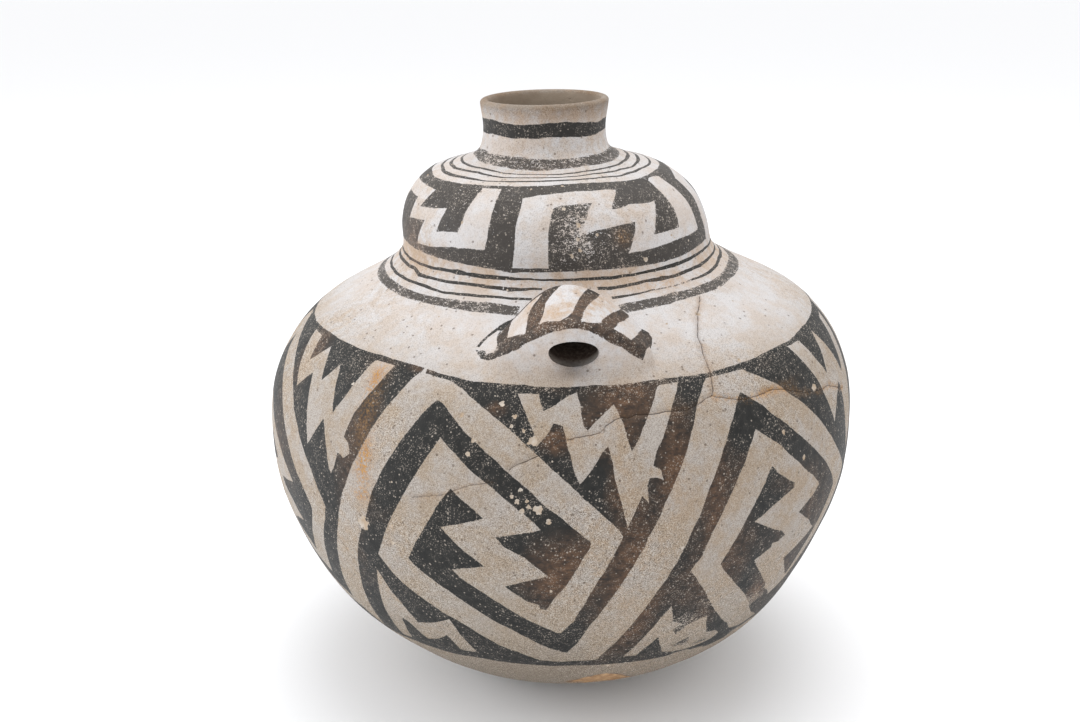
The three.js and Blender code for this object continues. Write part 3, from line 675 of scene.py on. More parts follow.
def brushed(points, step=PAINT_STEP, amount=0.35):
    """A painted edge: resampled and given the small waver of a hand-held brush."""
    line = resampled(points, step)
    flat = unsettled(line[:, 0], line[:, 1])
    radius = np.maximum(on_outline(line[:, 1])[0], 20)
    for k, place in enumerate(flat):
        line[k, 0] += math.degrees(amount * (waver(place, 0.16, 3) + 0.6 * waver(place, 0.5, 9)) / radius[k])
        line[k, 1] += amount * (waver(place, 0.16, 31) + 0.6 * waver(place, 0.5, 57))
    return line


def wrapped(line):
    """The line, with a copy of it where it crosses the seam at the back."""
    copies = [line]
    if line[:, 0].max() > 180:
        copies.append(line - (360, 0))
    if line[:, 0].min() < -180:
        copies.append(line + (360, 0))
    return copies


def inside_of(polygon, deg, s):
    """Which of the places lie in a closed outline."""
    found = np.zeros(len(deg), bool)
    near = np.flatnonzero(
        (deg >= polygon[:, 0].min()) & (deg <= polygon[:, 0].max())
        & (s >= polygon[:, 1].min()) & (s <= polygon[:, 1].max()))
    if not len(near):
        return found
    x, y = deg[near], s[near]
    odd = np.zeros(len(near), bool)
    for (ax, ay), (bx, by) in zip(polygon, np.roll(polygon, -1, axis=0)):
        if ay != by:
            crosses = (ay > y) != (by > y)
            odd ^= crosses & (x < (bx - ax) * (y - ay) / (by - ay) + ax)
    found[near] = odd
    return found


def density_at(shapes, deg, s):
    """How strong the paint is at each place; a later shape covers an earlier one."""
    deg = (deg + 180) % 360 - 180
    density = np.zeros(len(deg))
    for amount, polygon in shapes:
        density[inside_of(polygon, deg, s)] = amount
    return density


def real_edges(shapes):
    """The stretches of the outlines where paint meets bare slip."""
    starts, ends = [], []
    for _, polygon in shapes:
        following = np.roll(polygon, -1, axis=0)
        middle = (polygon + following) / 2
        radius = np.maximum(on_outline(middle[:, 1])[0], 20)
        run = following - polygon
        run[:, 0] = np.radians(run[:, 0]) * radius
        length = np.maximum(np.hypot(run[:, 0], run[:, 1]), 1e-6)
        side_deg = np.degrees(-run[:, 1] / length / radius) * 0.3
        side_s = run[:, 0] / length * 0.3
        one = density_at(shapes, middle[:, 0] + side_deg, middle[:, 1] + side_s) > 0
        other = density_at(shapes, middle[:, 0] - side_deg, middle[:, 1] - side_s) > 0
        keep = (one != other) & (length > 0.05)
        starts.append(polygon[keep])
        ends.append(following[keep])
    return np.concatenate(starts), np.concatenate(ends)


def tree_of(points):
    tree = kdtree.KDTree(len(points))
    for i, point in enumerate(points):
        tree.insert(Vector(point), i)
    tree.balance()
    return tree


def distances(tree, points):
    return np.array([tree.find(Vector(point))[2] for point in points])


# Mesh of the whole jar

class Sheet:
    """Points of the unrolled outer surface and the lines its triangles must follow."""

    def __init__(self):
        self.points = []
        self.edges = []
        self.index = {}

    def add(self, deg, s):
        key = (round(deg * 4000), round(s * 500))
        if key not in self.index:
            self.index[key] = len(self.points)
            self.points.append((deg, s))
        return self.index[key]

    def join(self, a, b):
        if a != b:
            self.edges.append((a, b))

    def line(self, points, closed=False):
        ids = [self.add(deg, s) for deg, s in points]
        for a, b in zip(ids, ids[1:]):
            self.join(a, b)
        if closed:
            self.join(ids[-1], ids[0])
        return ids


def base_rows():
    """Staggered rows of points about EDGE apart, each row with both of its ends."""
    heights = [0.0]
    while heights[-1] < LENGTH - EDGE:
        heights.append(heights[-1] + EDGE * 0.87)
    heights = np.array(heights) * LENGTH / heights[-1]
    heights[-1] = LENGTH
    rows = []
    for k, s in enumerate(heights):
        count = max(90, round(2 * math.pi * float(on_outline(s)[0]) / EDGE))
        if k == len(heights) - 1:
            count = INNER_COLUMNS
        shift = 0.5 if k % 2 and k < len(heights) - 1 else 0
        degs = -180 + 360 * (np.arange(count + 1 - (shift > 0)) + shift) / count
        if shift:
            degs = np.r_[-180, degs, 180]
        rows.append([(deg, s) for deg in degs])
    return rows


# Where the strap's closer points lie past its back and front edges, in mm
BACK_STEPS = (-6.2, -5, -4, -3, -2, -1, 0.2, 1.5, 3.2)
FRONT_STEPS = (-6.4, -4.6, -3, -1.6, -0.5, 0.4, 1.1, 1.8, 2.6, 3.5, 4.5, 5.6, 6.8, 8.2, 9.6, 11.2)


def lug_points():
    """Closer points over the strap, closest on its steep sides."""
    places = []
    for along in np.arange(-53, 38.5, 1.7):
        back = [float(lug_back_edge(along)) + past for past in BACK_STEPS]
        front = [LUG_FRONT + past for past in FRONT_STEPS]
        inner_start, inner_end = back[-1], front[0]
        count = max(0, int((inner_end - inner_start) / 1.9))
        middle = [inner_start + (inner_end - inner_start) * (i + 1) / (count + 1) for i in range(count)]
        for i, down in enumerate(back + middle + front):
            stagger = 0.85 if i % 2 else 0.0
            places.append(lug_spot(along + stagger, down))
    return [(float(a), float(b)) for a, b in places]


def flake_points(deg, s, radius):
    """Points in rings round a flaked spot, so that its hollow has a shape."""
    r = float(on_outline(s)[0])
    places = [(deg, s)]
    for share, count in ((0.5, 6), (1.0, 9), (1.45, 12)):
        for i in range(count):
            turn = 2 * math.pi * i / count + share
            aside = radius * share * math.cos(turn)
            places.append((deg + math.degrees(aside / r), s + radius * share * math.sin(turn)))
    return places


def crack_lines(points, half_width=CRACK_HALF_WIDTH):
    """The bottom of a crack and its two lips, each a line of close points."""
    line = resampled(points, 1.3, closed=False)
    flat = unsettled(line[:, 0], line[:, 1])
    radius = on_outline(line[:, 1])[0]
    for k, place in enumerate(flat):
        line[k, 0] += math.degrees(0.5 * waver(place, 0.45, 77) / radius[k])
        line[k, 1] += 0.5 * waver(place, 0.45, 91)
    run = np.gradient(line, axis=0)
    run[:, 0] = np.radians(run[:, 0]) * radius
    run /= np.maximum(np.hypot(run[:, 0], run[:, 1]), 1e-6)[:, None]
    lips = []
    for side in (-1, 1):
        lip = line.copy()
        lip[:, 0] += np.degrees(-run[:, 1] * side * half_width / radius)
        lip[:, 1] += run[:, 0] * side * half_width
        lips.append(lip)
    return line, lips


def random_flakes(count=110):
    """Small flakes over the whole wall apart from the lug."""
    picker = np.random.RandomState(11)
    flakes = []
    while len(flakes) < count:
        deg = picker.uniform(-180, 180)
        s = picker.uniform(60, 445)
        radius = picker.choice([0.5, 0.6, 0.75, 0.95, 1.2], p=[0.38, 0.27, 0.2, 0.1, 0.05])
        along, down = lug_place(deg, s)
        if not (-58 < along < 42 and -30 < down < 32):
            flakes.append((deg, s, radius, 0.15 + 0.25 * radius))
    return flakes


shapes = [(amount, copy) for amount, points in zone_shapes() + line_shapes() + strap_shapes()
          for copy in wrapped(brushed(points))]
edge_starts, edge_ends = real_edges(shapes)
front_loop = hole_loop(front=True)
back_loop = hole_loop(front=False)
loops = [np.array(lug_spot(loop[:, 0], loop[:, 1])).T for loop in (front_loop, back_loop)]
all_flakes = FLAKES + random_flakes()


def near_a_loop(deg, s, margin):
    """Whether a place is in the mouth of the cord hole or within margin mm of it."""
    close = np.zeros(len(deg), bool)
    for loop in loops:
        middle = loop.mean(0)
        grown = middle + (loop - middle) * (1 + margin * (1 / np.array(MOUTH_HALF)))
        close |= inside_of(grown, deg, s)
    return close


def build_sheet():
    """The paint's edges, cracks, flakes and lug first, and then plain rows where there is room."""
    sheet = Sheet()
    rows = base_rows()
    foot_ids = sheet.line(rows[0])
    rim_ids = sheet.line(rows[-1])
    for side in (0, -1):
        sheet.line([row[side] for row in rows])
    loop_ids = [sheet.line([tuple(p) for p in loop], closed=True) for loop in loops]
    fixed = len(sheet.points)
    keep = ~(near_a_loop(edge_starts[:, 0], edge_starts[:, 1], 1.0)
             | near_a_loop(edge_ends[:, 0], edge_ends[:, 1], 1.0))
    keep &= (np.abs(edge_starts[:, 0]) < 183) & (np.abs(edge_ends[:, 0]) < 183)
    for a, b in zip(edge_starts[keep], edge_ends[keep]):
        sheet.join(sheet.add(*a), sheet.add(*b))
    crack_samples = []
    for depth, dark_and_hole_shade, rust, points in CRACKS:
        line, lips = crack_lines(points)
        sheet.line([tuple(p) for p in line])
        for lip in lips:
            sheet.line([tuple(p) for p in lip])
        crack_samples.append((depth, dark_and_hole_shade, rust, line))
    taken = np.array(sheet.points)
    tree = tree_of(unsettled(taken[:, 0], taken[:, 1]))
    extras = [(p, 0.55) for flake in all_flakes for p in flake_points(*flake[:3])]
    extras += [(p, 0.75) for p in lug_points()]
    spots = np.array([p for p, _ in extras])
    gaps = distances(tree, unsettled(spots[:, 0], spots[:, 1]))
    blocked = near_a_loop(spots[:, 0], spots[:, 1], 0.6)
    for (spot, gap), distance, shut in zip(extras, gaps, blocked):
        if distance > gap and not shut and abs(spot[0]) < 180:
            sheet.add(*spot)
    taken = np.array(sheet.points)
    tree = tree_of(unsettled(taken[:, 0], taken[:, 1]))
    spots = np.array([p for row in rows[1:-1] for p in row[1:-1]])
    gaps = distances(tree, unsettled(spots[:, 0], spots[:, 1]))
    for spot, distance in zip(spots, gaps):
        if distance > EDGE * 0.42:
            sheet.add(*spot)
    return sheet, foot_ids, rim_ids, loop_ids, crack_samples


sheet, foot_ids, rim_ids, loop_ids, crack_samples = build_sheet()
plane = [Vector((math.radians(deg), float(np.interp(s, ALONG, STRETCH)))) for deg, s in sheet.points]
flat_points, _, triangles, origins, _, _ = geometry.delaunay_2d_cdt(plane, sheet.edges, [], 0, 1e-6, True)
flat = np.array([tuple(p) for p in flat_points])
degs = np.degrees(flat[:, 0])
lengths = np.interp(flat[:, 1], STRETCH, ALONG)
new_id = {old: new for new, olds in enumerate(origins) for old in olds}
tris = np.array(triangles)
centre_deg = degs[tris].mean(1)
centre_s = lengths[tris].mean(1)
a, b, c = (flat[tris[:, k]] for k in range(3))
area = (b[:, 0] - a[:, 0]) * (c[:, 1] - a[:, 1]) - (c[:, 0] - a[:, 0]) * (b[:, 1] - a[:, 1])
wanted = (np.abs(centre_deg) < 180) & (np.abs(area) > 1e-12)
for loop in loops:
    wanted &= ~inside_of(loop, centre_deg, centre_s)
tris = np.where((area < 0)[:, None], tris[:, ::-1], tris)[wanted]
centre_deg, centre_s = centre_deg[wanted], centre_s[wanted]

# What the surface carries at each point: relief, distance to painted edges, stains
outer_flat = unsettled(degs, lengths)
share = (np.arange(4) + 0.5)[:, None, None] / 4
edge_samples = (edge_starts + (edge_ends - edge_starts) * share).reshape(-1, 2)
edge_samples = np.concatenate([edge_samples, edge_starts, edge_ends])
edge_tree = tree_of(unsettled(edge_samples[:, 0], edge_samples[:, 1]))
to_edge = distances(edge_tree, outer_flat)
to_edge[to_edge < 0.32] = 0
face_density = density_at(shapes, centre_deg, centre_s)

along, down = lug_place(degs, lengths)
proud = lug_height(along, down)
bare, dark_and_hole_shade, rust, brown, raw, within, worn = np.zeros((7, len(degs)))
for k, place in enumerate(outer_flat):
    proud[k] += 0.45 * waver(place, 0.022, 5) + 0.16 * waver(place, 0.075, 12)
for depth, darkness, rusty, line in crack_samples:
    close = resampled(line, 0.3, closed=False)
    reach = distances(tree_of(unsettled(close[:, 0], close[:, 1])), outer_flat)
    proud -= depth * np.clip(1 - reach / CRACK_HALF_WIDTH, 0, 1)
    patchy = np.array([min(1, max(0.35, 0.9 + 1.4 * waver(place, 0.3, 63))) for place in outer_flat])
    dark_and_hole_shade = np.maximum(dark_and_hole_shade, darkness * patchy * np.clip(1.5 - reach / 0.27, 0, 1))
    rust = np.maximum(rust, rusty * 0.6 * np.exp(-(reach / 1.3) ** 2))
flake_tree = tree_of(unsettled(*np.array([f[:2] for f in all_flakes]).T))
for k, place in enumerate(outer_flat):
    _, which, gap = flake_tree.find(Vector(place))
    radius, depth = all_flakes[which][2:]
    reach = gap / (radius * (1 + 0.6 * waver(place, 0.9, 40)))
    if reach < 1:
        proud[k] -= depth * (1 - reach * reach)
    bare[k] = min(1, max(0, (1.25 - reach) / 0.4))
lip_inside = inside_of(brushed(LIP), degs, lengths)
lip_line = resampled(LIP, 0.6)
lip_reach = distances(tree_of(unsettled(lip_line[:, 0], lip_line[:, 1])), outer_flat)
raw[lip_inside] = 1
proud -= np.where(lip_inside, 0.9 * np.clip(lip_reach / 1.6, 0, 1), 0)
dark_and_hole_shade = np.maximum(dark_and_hole_shade, 0.75 * np.exp(-(lip_reach / 0.9) ** 2) * (lengths > 72))
stained = {"rust": rust, "brown": brown, "worn": worn, "dark_and_hole_shade": dark_and_hole_shade}
for kind, strength, deg, s, half_deg, half_s in STAINS:
    blot = strength * np.exp(-((degs - deg) / half_deg) ** 2 - ((lengths - s) / half_s) ** 2)
    np.maximum(stained[kind], blot, out=stained[kind])
proud *= np.clip(lengths / 6, 0, 1)
outer = settle(unsettled(degs, lengths, proud))


class Body:
    """Vertices, faces and what each carries, gathered for one mesh."""

    def __init__(self):
        self.vertices = []
        self.point_values = []
        self.faces = []
        self.corner_values = []
        self.corner_uv = []

    def grid(self, rings, ids, v_range, flip, values):
        """Closed rings of vertices joined in turn, from the ring whose vertex ids are given."""
        count = len(ids)
        previous = list(ids)
        steps = len(rings)
        for k, ring in enumerate(rings):
            if isinstance(ring, list):
                current = ring
            else:
                current = list(range(len(self.vertices), len(self.vertices) + count))
                self.vertices += [tuple(p) for p in ring]
                self.point_values += [values] * count
            v0 = v_range[0] + (v_range[1] - v_range[0]) * k / steps
            v1 = v_range[0] + (v_range[1] - v_range[0]) * (k + 1) / steps
            for i in range(count):
                j = (i + 1) % count
                face = [previous[i], previous[j], current[j], current[i]]
                uv = [(i / count, v0), ((i + 1) / count, v0), ((i + 1) / count, v1), (i / count, v1)]
                if flip:
                    face.reverse()
                    uv.reverse()
                self.faces.append(face)
                self.corner_uv += uv
                self.corner_values += [NO_PAINT] * 4
            previous = current
        return previous

    def cap(self, ids, centre, values, flip):
        middle = len(self.vertices)
        self.vertices.append(tuple(centre))
        self.point_values.append(values)
        for i in range(len(ids)):
            face = [ids[i], ids[(i + 1) % len(ids)], middle]
            if flip:
                face.reverse()
            self.faces.append(face)
            self.corner_uv += [(0.01, 0.01), (0.02, 0.01), (0.015, 0.02)]
            self.corner_values += [NO_PAINT] * 3


body = Body()
# The left and right ends of the unrolled sheet are one line on the jar
left_end = {round(float(flat[i, 1]) * 1e5): i for i in np.flatnonzero(np.abs(degs + 180) < 1e-3)}
same = np.arange(len(degs))
for i in np.flatnonzero(np.abs(degs - 180) < 1e-3):
    key = round(float(flat[i, 1]) * 1e5)
    partner = next((left_end[key + d] for d in (0, 1, -1, 2, -2, 3, -3) if key + d in left_end), i)
    same[i] = partner
used = np.zeros(len(degs), bool)
used[same[tris].ravel()] = True
compact = np.cumsum(used) - 1
body.vertices = [tuple(p) for p in outer[used] * MM]
body.point_values = [tuple(v) for v in np.stack([bare, dark_and_hole_shade, rust, brown, raw, within, worn], -1)[used]]
reach = to_edge[tris]
reach = np.where(reach.max(1)[:, None] < 0.33, 0.4, reach)
signs = np.where(face_density > 0, 1, -1)
ink = np.clip(reach * signs[:, None], -FAR, FAR)
body.faces = [list(t) for t in compact[same[tris]]]
body.corner_values = [(float(v), float(d)) for row, d in zip(ink, face_density) for v in row]
uv_u = (degs[tris] + 180) / 360
uv_v = 0.2 + 0.8 * lengths[tris] / LENGTH
body.corner_uv = [(float(u), float(v)) for us, vs in zip(uv_u, uv_v) for u, v in zip(us, vs)]


def at_vertex(sheet_id):
    """The mesh's vertex for a point of the unrolled sheet."""
    return int(compact[same[new_id[sheet_id]]])


# What the surfaces that carry no paint have: bare, dark (marks, and painted shade in the cord hole), rust,
# brown, raw, within and worn
RIM_VALUES = (0, 0, 0, 0, 0, 0.25, 0)
INNER_VALUES = (0, 0, 0, 0, 0, 1.0, 0)
FOOT_VALUES = (0, 0, 0, 0, 0, 0.4, 0)
# The cord hole's wall: inner clay, made near black with painted shade, though the hole is open to the light
# behind
HOLE_VALUES = (0, 0.92, 0, 0, 0, 0.8, 0)
ring_degs = -180 + 360 * np.arange(INNER_COLUMNS) / INNER_COLUMNS


def rim_rings():
    """A half round over the rim, from the outer face to the inner one."""
    r, z, dr, dz = (float(v) for v in on_outline(LENGTH))
    around = np.radians(ring_degs)
    rings = []
    for k in range(1, 8):
        turn = math.pi * k / 8
        sink = RIM_WALL / 2 * (1 - math.cos(turn))
        rise = RIM_WALL / 2 * math.sin(turn)
        radius = r - dz * sink + dr * rise
        level = np.full_like(around, z + dr * sink + dz * rise)
        rings.append(settle(np.stack([radius * np.sin(around), -radius * np.cos(around), level], -1)) * MM)
    return rings


def inner_rings():
    """The inner face from the rim down to the floor, with the true wall thickness."""
    rings = []
    for s in np.linspace(LENGTH, 4, 84):
        level = float(on_outline(s)[1])
        share = min(1, max(0, (level - LOBE_LEVEL) / (NECK_ROOT_LEVEL - LOBE_LEVEL)))
        wall = WALL + (RIM_WALL - WALL) * share
        ring = unsettled(ring_degs, np.full(INNER_COLUMNS, s), -wall)
        for k, place in enumerate(ring):
            ring[k, :2] *= 1 + 0.006 * waver(place, 0.03, 21) * min(1, (LENGTH - s) / 40)
        rings.append(settle(ring) * MM)
    return rings


rim_vertices = [at_vertex(i) for i in rim_ids[:-1]]
last = body.grid(rim_rings(), rim_vertices, (0.19, 0.18), False, RIM_VALUES)
last = body.grid(inner_rings(), last, (0.18, 0.06), False, INNER_VALUES)
inner_end = np.array([body.vertices[i] for i in last])
floor_rings = [inner_end.mean(0) + (inner_end - inner_end.mean(0)) * share for share in (0.72, 0.44, 0.18)]
last = body.grid(floor_rings, last, (0.06, 0.04), False, INNER_VALUES)
body.cap(last, np.array([body.vertices[i] for i in last]).mean(0), INNER_VALUES, False)

foot_vertices = [at_vertex(i) for i in foot_ids[:-1]]
foot_ring = np.array([body.vertices[i] for i in foot_vertices])
foot_rings = [foot_ring.mean(0) + (foot_ring - foot_ring.mean(0)) * share for share in (0.75, 0.5, 0.22)]
last = body.grid(foot_rings, foot_vertices, (0.04, 0.02), True, FOOT_VALUES)
body.cap(last, foot_ring.mean(0), FOOT_VALUES, True)


def tunnel_rings():
    """The cord hole's wall, from the strap's front face to its back one."""
    rings = []
    for share in np.linspace(0, 1, 12)[1:-1]:
        spots = front_loop + (back_loop - front_loop) * share
        deg, s = lug_spot(spots[:, 0], spots[:, 1])
        rings.append(settle(unsettled(deg, s, spots[:, 2])) * MM)
    return rings


front_vertices = [at_vertex(i) for i in loop_ids[0]]
back_vertices = [at_vertex(i) for i in loop_ids[1]]
# The cord hole's wall, carrying painted shade
body.grid(tunnel_rings() + [back_vertices], front_vertices, (0.0, 0.02), True, HOLE_VALUES)


def make_mesh(name):
    mesh = bpy.data.meshes.new(name)
    mesh.from_pydata(body.vertices, [], body.faces)
    names = ("bare", "dark_and_hole_shade", "rust", "brown", "raw", "within", "worn")
    point_values = np.array(body.point_values, np.float32)
    for k, title in enumerate(names):
        layer = mesh.attributes.new(title, "FLOAT", "POINT")
        layer.data.foreach_set("value", np.ascontiguousarray(point_values[:, k]))
    corner_values = np.array(body.corner_values, np.float32)
    for k, title in enumerate(("ink", "body_of_paint")):
        layer = mesh.attributes.new(title, "FLOAT", "CORNER")
        layer.data.foreach_set("value", np.ascontiguousarray(corner_values[:, k]))
    uv = mesh.uv_layers.new(name="OFBake")
    uv.data.foreach_set("uv", np.array(body.corner_uv, np.float32).ravel())
    mesh.polygons.foreach_set("use_smooth", [True] * len(mesh.polygons))
    mesh.update()
    return mesh


jar = bpy.data.objects.new("painted_jar", make_mesh("painted_jar"))
bpy.context.scene.collection.objects.link(jar)


# Finishes

def linear(red, green, blue):
    """A colour given as it looks on a screen, 0 to 255, as the light it stands for."""
    parts = []
    for value in (red, green, blue):
        v = value / 255
        parts.append(v / 12.92 if v <= 0.04045 else ((v + 0.055) / 1.055) ** 2.4)
    return (*parts, 1.0)


class Wire:
    """An output of a material's node, with arithmetic that adds Math nodes."""

    def __init__(self, finish, socket):
        self.finish = finish
        self.socket = socket

    def _maths(self, operation, first, second, clamp=False):
        settings = {"operation": operation, "use_clamp": clamp}
        return self.finish.node("ShaderNodeMath", settings, {0: first, 1: second})

    def __add__(self, other):
        return self._maths("ADD", self, other)

    def __radd__(self, other):
        return self._maths("ADD", other, self)

    def __sub__(self, other):
        return self._maths("SUBTRACT", self, other)

    def __rsub__(self, other):
        return self._maths("SUBTRACT", other, self)

    def __mul__(self, other):
        return self._maths("MULTIPLY", self, other)

    def __rmul__(self, other):
        return self._maths("MULTIPLY", other, self)

    def __truediv__(self, other):
        return self._maths("DIVIDE", self, other)

    def clamped(self):
        return self._maths("ADD", self, 0.0, clamp=True)


class Finish:
    """One material and the nodes that make it."""

    def __init__(self, name):
        self.material = bpy.data.materials.new(name)
        self.material.use_nodes = True
        self.tree = self.material.node_tree
        self.tree.nodes.clear()

    def feed(self, socket, value):
        if isinstance(value, Wire):
            self.tree.links.new(value.socket, socket)
        else:
            socket.default_value = value

    def node(self, kind, settings=None, inputs=None, out=0):
        node = self.tree.nodes.new(kind)
        for name, value in (settings or {}).items():
            setattr(node, name, value)
        for name, value in (inputs or {}).items():
            self.feed(node.inputs[name], value)
        return Wire(self, node.outputs[out]) if node.outputs else None

    def mix(self, factor, first, second):
        return self.node("ShaderNodeMix", {"data_type": "RGBA"}, {0: factor, 6: first, 7: second}, out=2)

    def carried(self, name):
        return self.node("ShaderNodeAttribute", {"attribute_name": name}, out="Fac")

    def speckle(self, place, scale, detail=2.0, rough=0.5):
        inputs = {"Vector": place, "Scale": scale, "Detail": detail, "Roughness": rough}
        return self.node("ShaderNodeTexNoise", {}, inputs)

    def ramp(self, value, low, high):
        """0 below low and 1 above high, straight between them."""
        return ((value - low) / (high - low)).clamped()

    def dots(self, place, scale, size, rare):
        """Round spots: their size as a part of a cell, and how few of the cells have one."""
        gap = self.node("ShaderNodeTexVoronoi", {}, {"Vector": place, "Scale": scale}, out="Distance")
        pick = Wire(self, gap.socket.node.outputs["Color"])
        return self.ramp(gap, size, size * 0.65) * self.ramp(pick, rare, rare + 0.05)

    def close(self, bsdf_inputs):
        shader = self.node("ShaderNodeBsdfPrincipled", {}, bsdf_inputs)
        self.node("ShaderNodeOutputMaterial", {}, {"Surface": shader})
        return self.material


def painted_clay():
    f = Finish("painted_clay")
    place = f.node("ShaderNodeTexCoord", out="Object")
    height = f.node("ShaderNodeSeparateXYZ", {}, {0: place}, out="Z")
    flattened = f.node("ShaderNodeMapping", {}, {"Vector": place, "Scale": (1, 1, 2.6)})
    sharp = f.speckle(place, 2100, 1, 0.5)
    fine = f.speckle(place, 1500, 2, 0.6)
    grain = f.speckle(place, 620, 3, 0.6)
    mottle = f.speckle(place, 210, 3, 0.6)
    streak = f.speckle(flattened, 330, 3, 0.65)
    cloud = f.speckle(place, 42, 3, 0.55)
    drift = f.speckle(place, 11, 2, 0.5)
    ink = f.carried("ink")
    thin = 1 - f.carried("body_of_paint")
    bare, dark_and_hole_shade, rust, worn = f.carried("bare"), f.carried("dark_and_hole_shade"), f.carried("rust"), f.carried("worn")
    brown, raw, within = f.carried("brown"), f.carried("raw"), f.carried("within")

    # Slip: pale grey above, greyer and grittier on the belly, darker low on the belly as painted shade, tan at
    # the base darkened by painted shade, and tan in the groove and at the rim
    upper = f.ramp(height, 0.214, 0.242)
    shaded_low_belly = 1 - f.ramp(height, 0.05, 0.16)
    foot = 1 - f.ramp(height, 0.055, 0.09)
    groove = f.ramp(height, 0.251, 0.26) * (1 - f.ramp(height, 0.266, 0.276))
    rim_tan = f.ramp(height, 0.318, 0.34)
    patches = f.ramp(cloud * 0.7 + mottle * 0.3, 0.42, 0.58)
    pale = f.mix(patches, linear(193, 190, 190), linear(188, 178, 171))
    grey = f.mix(patches, linear(161, 153, 146), linear(152, 136, 118))
    # Painted shade: the lower belly, turning down towards the floor, is darkened towards grey-brown
    grey = f.mix(shaded_low_belly * 0.75, grey, linear(138, 127, 112))
    slip = f.mix(upper, grey, pale)
    # The foot's dark tan: the clay's tan with painted shade where the jar curves under
    slip = f.mix(foot * 0.9, slip, linear(116, 103, 87))
    tan = groove * 0.6 + rim_tan * 0.45 + brown * 0.3
    slip = f.mix((tan * f.ramp(cloud + mottle, 0.8, 1.14)).clamped(), slip, linear(172, 144, 116))
    lip = f.mix(patches, linear(122, 111, 101), linear(112, 90, 68))
    slip = f.mix(f.ramp(height, 0.334, 0.345), slip, lip)
    slip = f.mix(f.ramp(drift, 0.5, 0.62) * f.ramp(mottle, 0.45, 0.6) * 0.3, slip, linear(168, 144, 118))
    coarse = (1 - upper * 0.5) * (0.55 + f.ramp(drift + shaded_low_belly * 0.1, 0.45, 0.6) * 0.45)
    light_grit = f.ramp(sharp * 0.7 + grain * 0.3, 0.51, 0.6)
    dark_grit = f.ramp(sharp * 0.65 + fine * 0.35, 0.485, 0.4)
    slip = f.mix(light_grit * coarse * 0.55, slip, linear(206, 199, 190))
    slip = f.mix(dark_grit * coarse * 0.8, slip, linear(88, 76, 63))
    pores = f.dots(place, 760, 0.36, 0.5) * f.ramp(mottle, 0.4, 0.55) * coarse
    pits = f.dots(place, 250, 0.2, 0.62)
    slip = f.mix((pores * 0.5 + pits * 0.6).clamped(), slip, linear(84, 70, 56))

    # Paint: carbon black, brown where it fired warmer, thin where the brush ran dry, rubbed off in grains
    charcoal = f.mix(f.ramp(mottle, 0.35, 0.7), linear(27, 27, 26), linear(42, 41, 39))
    umber = f.mix(f.ramp(streak * 0.5 + mottle * 0.5, 0.38, 0.62), linear(50, 39, 32), linear(100, 74, 54))
    paint = f.mix((brown * 1.3 - 0.3 + f.ramp(cloud, 0.4, 0.7) * 0.35).clamped(), charcoal, umber)
    paint = f.mix((thin * 1.5).clamped(), paint, linear(88, 81, 76))
    ragged = ink + (fine - 0.5) * 1.3 + (grain - 0.5) * 1.5
    mask = f.ramp(ragged, -0.14, 0.14)
    edge = 1 - f.ramp(ink, 0.2, 1.6)
    wear = sharp * 0.2 + fine * 0.3 + grain * 0.2 + streak * 0.3
    limit = 0.675 - thin * 0.32 - worn * 0.17 - edge * 0.03 - f.ramp(cloud, 0.45, 0.65) * 0.045
    cover = mask * (1 - f.ramp(wear - limit, 0.0, 0.035))
    colour = f.mix(cover, slip, paint)
    flecks = f.dots(place, 1350, 0.44, 0.47) * f.ramp(mottle * 0.6 + cloud * 0.4 + worn * 0.15, 0.44, 0.58)
    chips = f.dots(place, 560, 0.3, 0.66)
    colour = f.mix(((flecks * 0.55 + chips * 0.7) * mask).clamped(), colour, linear(166, 156, 145))

    # Stains, bare clay, flaked spots, cracks, and painted shade in the cord hole
    rust_tone = f.mix(f.ramp(fine * 0.5 + grain * 0.5, 0.4, 0.6), linear(128, 76, 26), linear(176, 132, 72))
    rust_here = rust * 1.5 * f.ramp(fine * 0.25 + grain * 0.45 + cloud * 0.3, 0.42, 0.55) * (1 - cover * 0.72)
    colour = f.mix(rust_here.clamped(), colour, rust_tone)
    streaks = f.ramp(mottle * 0.6 + grain * 0.4, 0.4, 0.62)
    colour = f.mix(raw, colour, f.mix(streaks, linear(140, 102, 66), linear(196, 160, 120)))
    scar = f.mix(f.ramp(mottle, 0.35, 0.65), linear(190, 181, 170), linear(166, 146, 124))
    colour = f.mix(f.ramp(bare + (fine - 0.5) * 0.9, 0.42, 0.6), colour, scar)
    inner = f.mix(f.ramp(cloud, 0.3, 0.7), linear(150, 136, 120), linear(122, 106, 90))
    colour = f.mix(within.clamped(), colour, inner)
    # Dark lines in cracks and along the broken lip, dark stains, and painted shade that makes the cord hole's
    # wall near black
    colour = f.mix((dark_and_hole_shade * (0.8 + grain * 0.5)).clamped(), colour, linear(40, 29, 22))

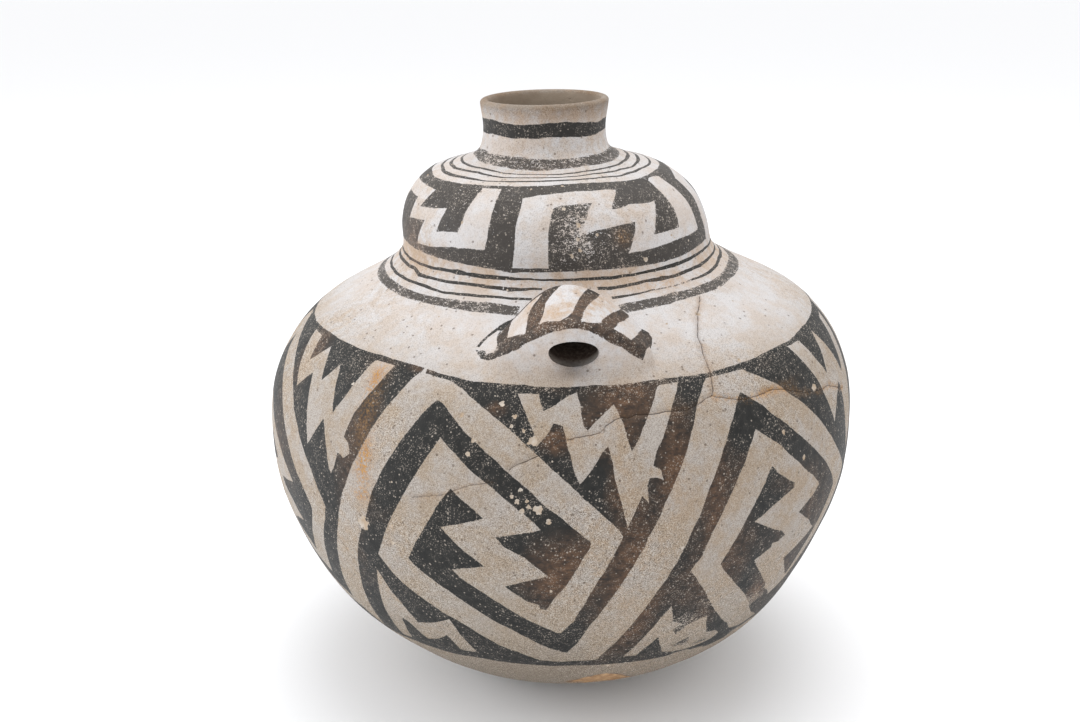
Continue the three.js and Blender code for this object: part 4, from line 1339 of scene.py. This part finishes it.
    rough = 0.64 + (grain - 0.5) * 0.2 - cover * 0.06
    relief = fine * 0.45 + grain * 0.6 + mottle * 0.9 - pores * 0.4 - pits * 0.8 + cover * 0.14 - bare * 0.4
    bump = f.node("ShaderNodeBump", {}, {"Strength": 0.6, "Distance": 0.00045, "Height": relief})
    return f.close({
        "Base Color": colour, "Roughness": rough.clamped(), "Normal": bump,
        "IOR": 1.45, "Specular IOR Level": 0.3,
    })


def pale_floor():
    f = Finish("pale_floor")
    return f.close({"Base Color": (0.93, 0.935, 0.95, 1), "Roughness": 0.9, "Specular IOR Level": 0.1})


jar.data.materials.append(painted_clay())
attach(jar, "root")
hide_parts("jar")


# Floor, lights and camera

def make_floor(radius=14.0):
    mesh = bpy.data.meshes.new("floor")
    turns = [2 * math.pi * i / 64 for i in range(64)]
    mesh.from_pydata([(radius * math.cos(t), radius * math.sin(t), 0) for t in turns], [], [list(range(64))])
    floor = bpy.data.objects.new("floor", mesh)
    bpy.context.scene.collection.objects.link(floor)
    mesh.materials.append(pale_floor())


def soft_light(name, place, aim, size, power, tint=(1, 1, 1)):
    lamp = bpy.data.lights.new(name, "AREA")
    lamp.shape = "DISK"
    lamp.size = size
    lamp.energy = power
    lamp.color = tint
    light = bpy.data.objects.new(name, lamp)
    light.location = place
    light.rotation_euler = (Vector(aim) - Vector(place)).to_track_quat("-Z", "Y").to_euler()
    bpy.context.scene.collection.objects.link(light)


def set_world(strength=1.03):
    world = bpy.data.worlds.new("studio")
    world.use_nodes = True
    background = world.node_tree.nodes["Background"]
    background.inputs["Color"].default_value = (1.0, 1.0, 1.0, 1)
    background.inputs["Strength"].default_value = strength
    bpy.context.scene.world = world


make_floor()
set_world()
soft_light("overhead", (0.1, 0.15, 1.7), (0, 0, 0.2), 1.5, 15)
soft_light("left", (-1.7, -0.15, 0.7), (0, 0, 0.15), 1.2, 13, (0.94, 0.97, 1.0))

camera = bpy.data.objects.new("camera", bpy.data.cameras.new("camera"))
camera.data.sensor_width = 36
camera.data.lens = 45.0
camera.location = (-0.01187, -0.7745, 0.4458)
camera.rotation_euler = (math.radians(71.6), 0, 0)
bpy.context.scene.collection.objects.link(camera)
bpy.context.scene.camera = camera
bpy.context.scene.view_settings.view_transform = "Standard"
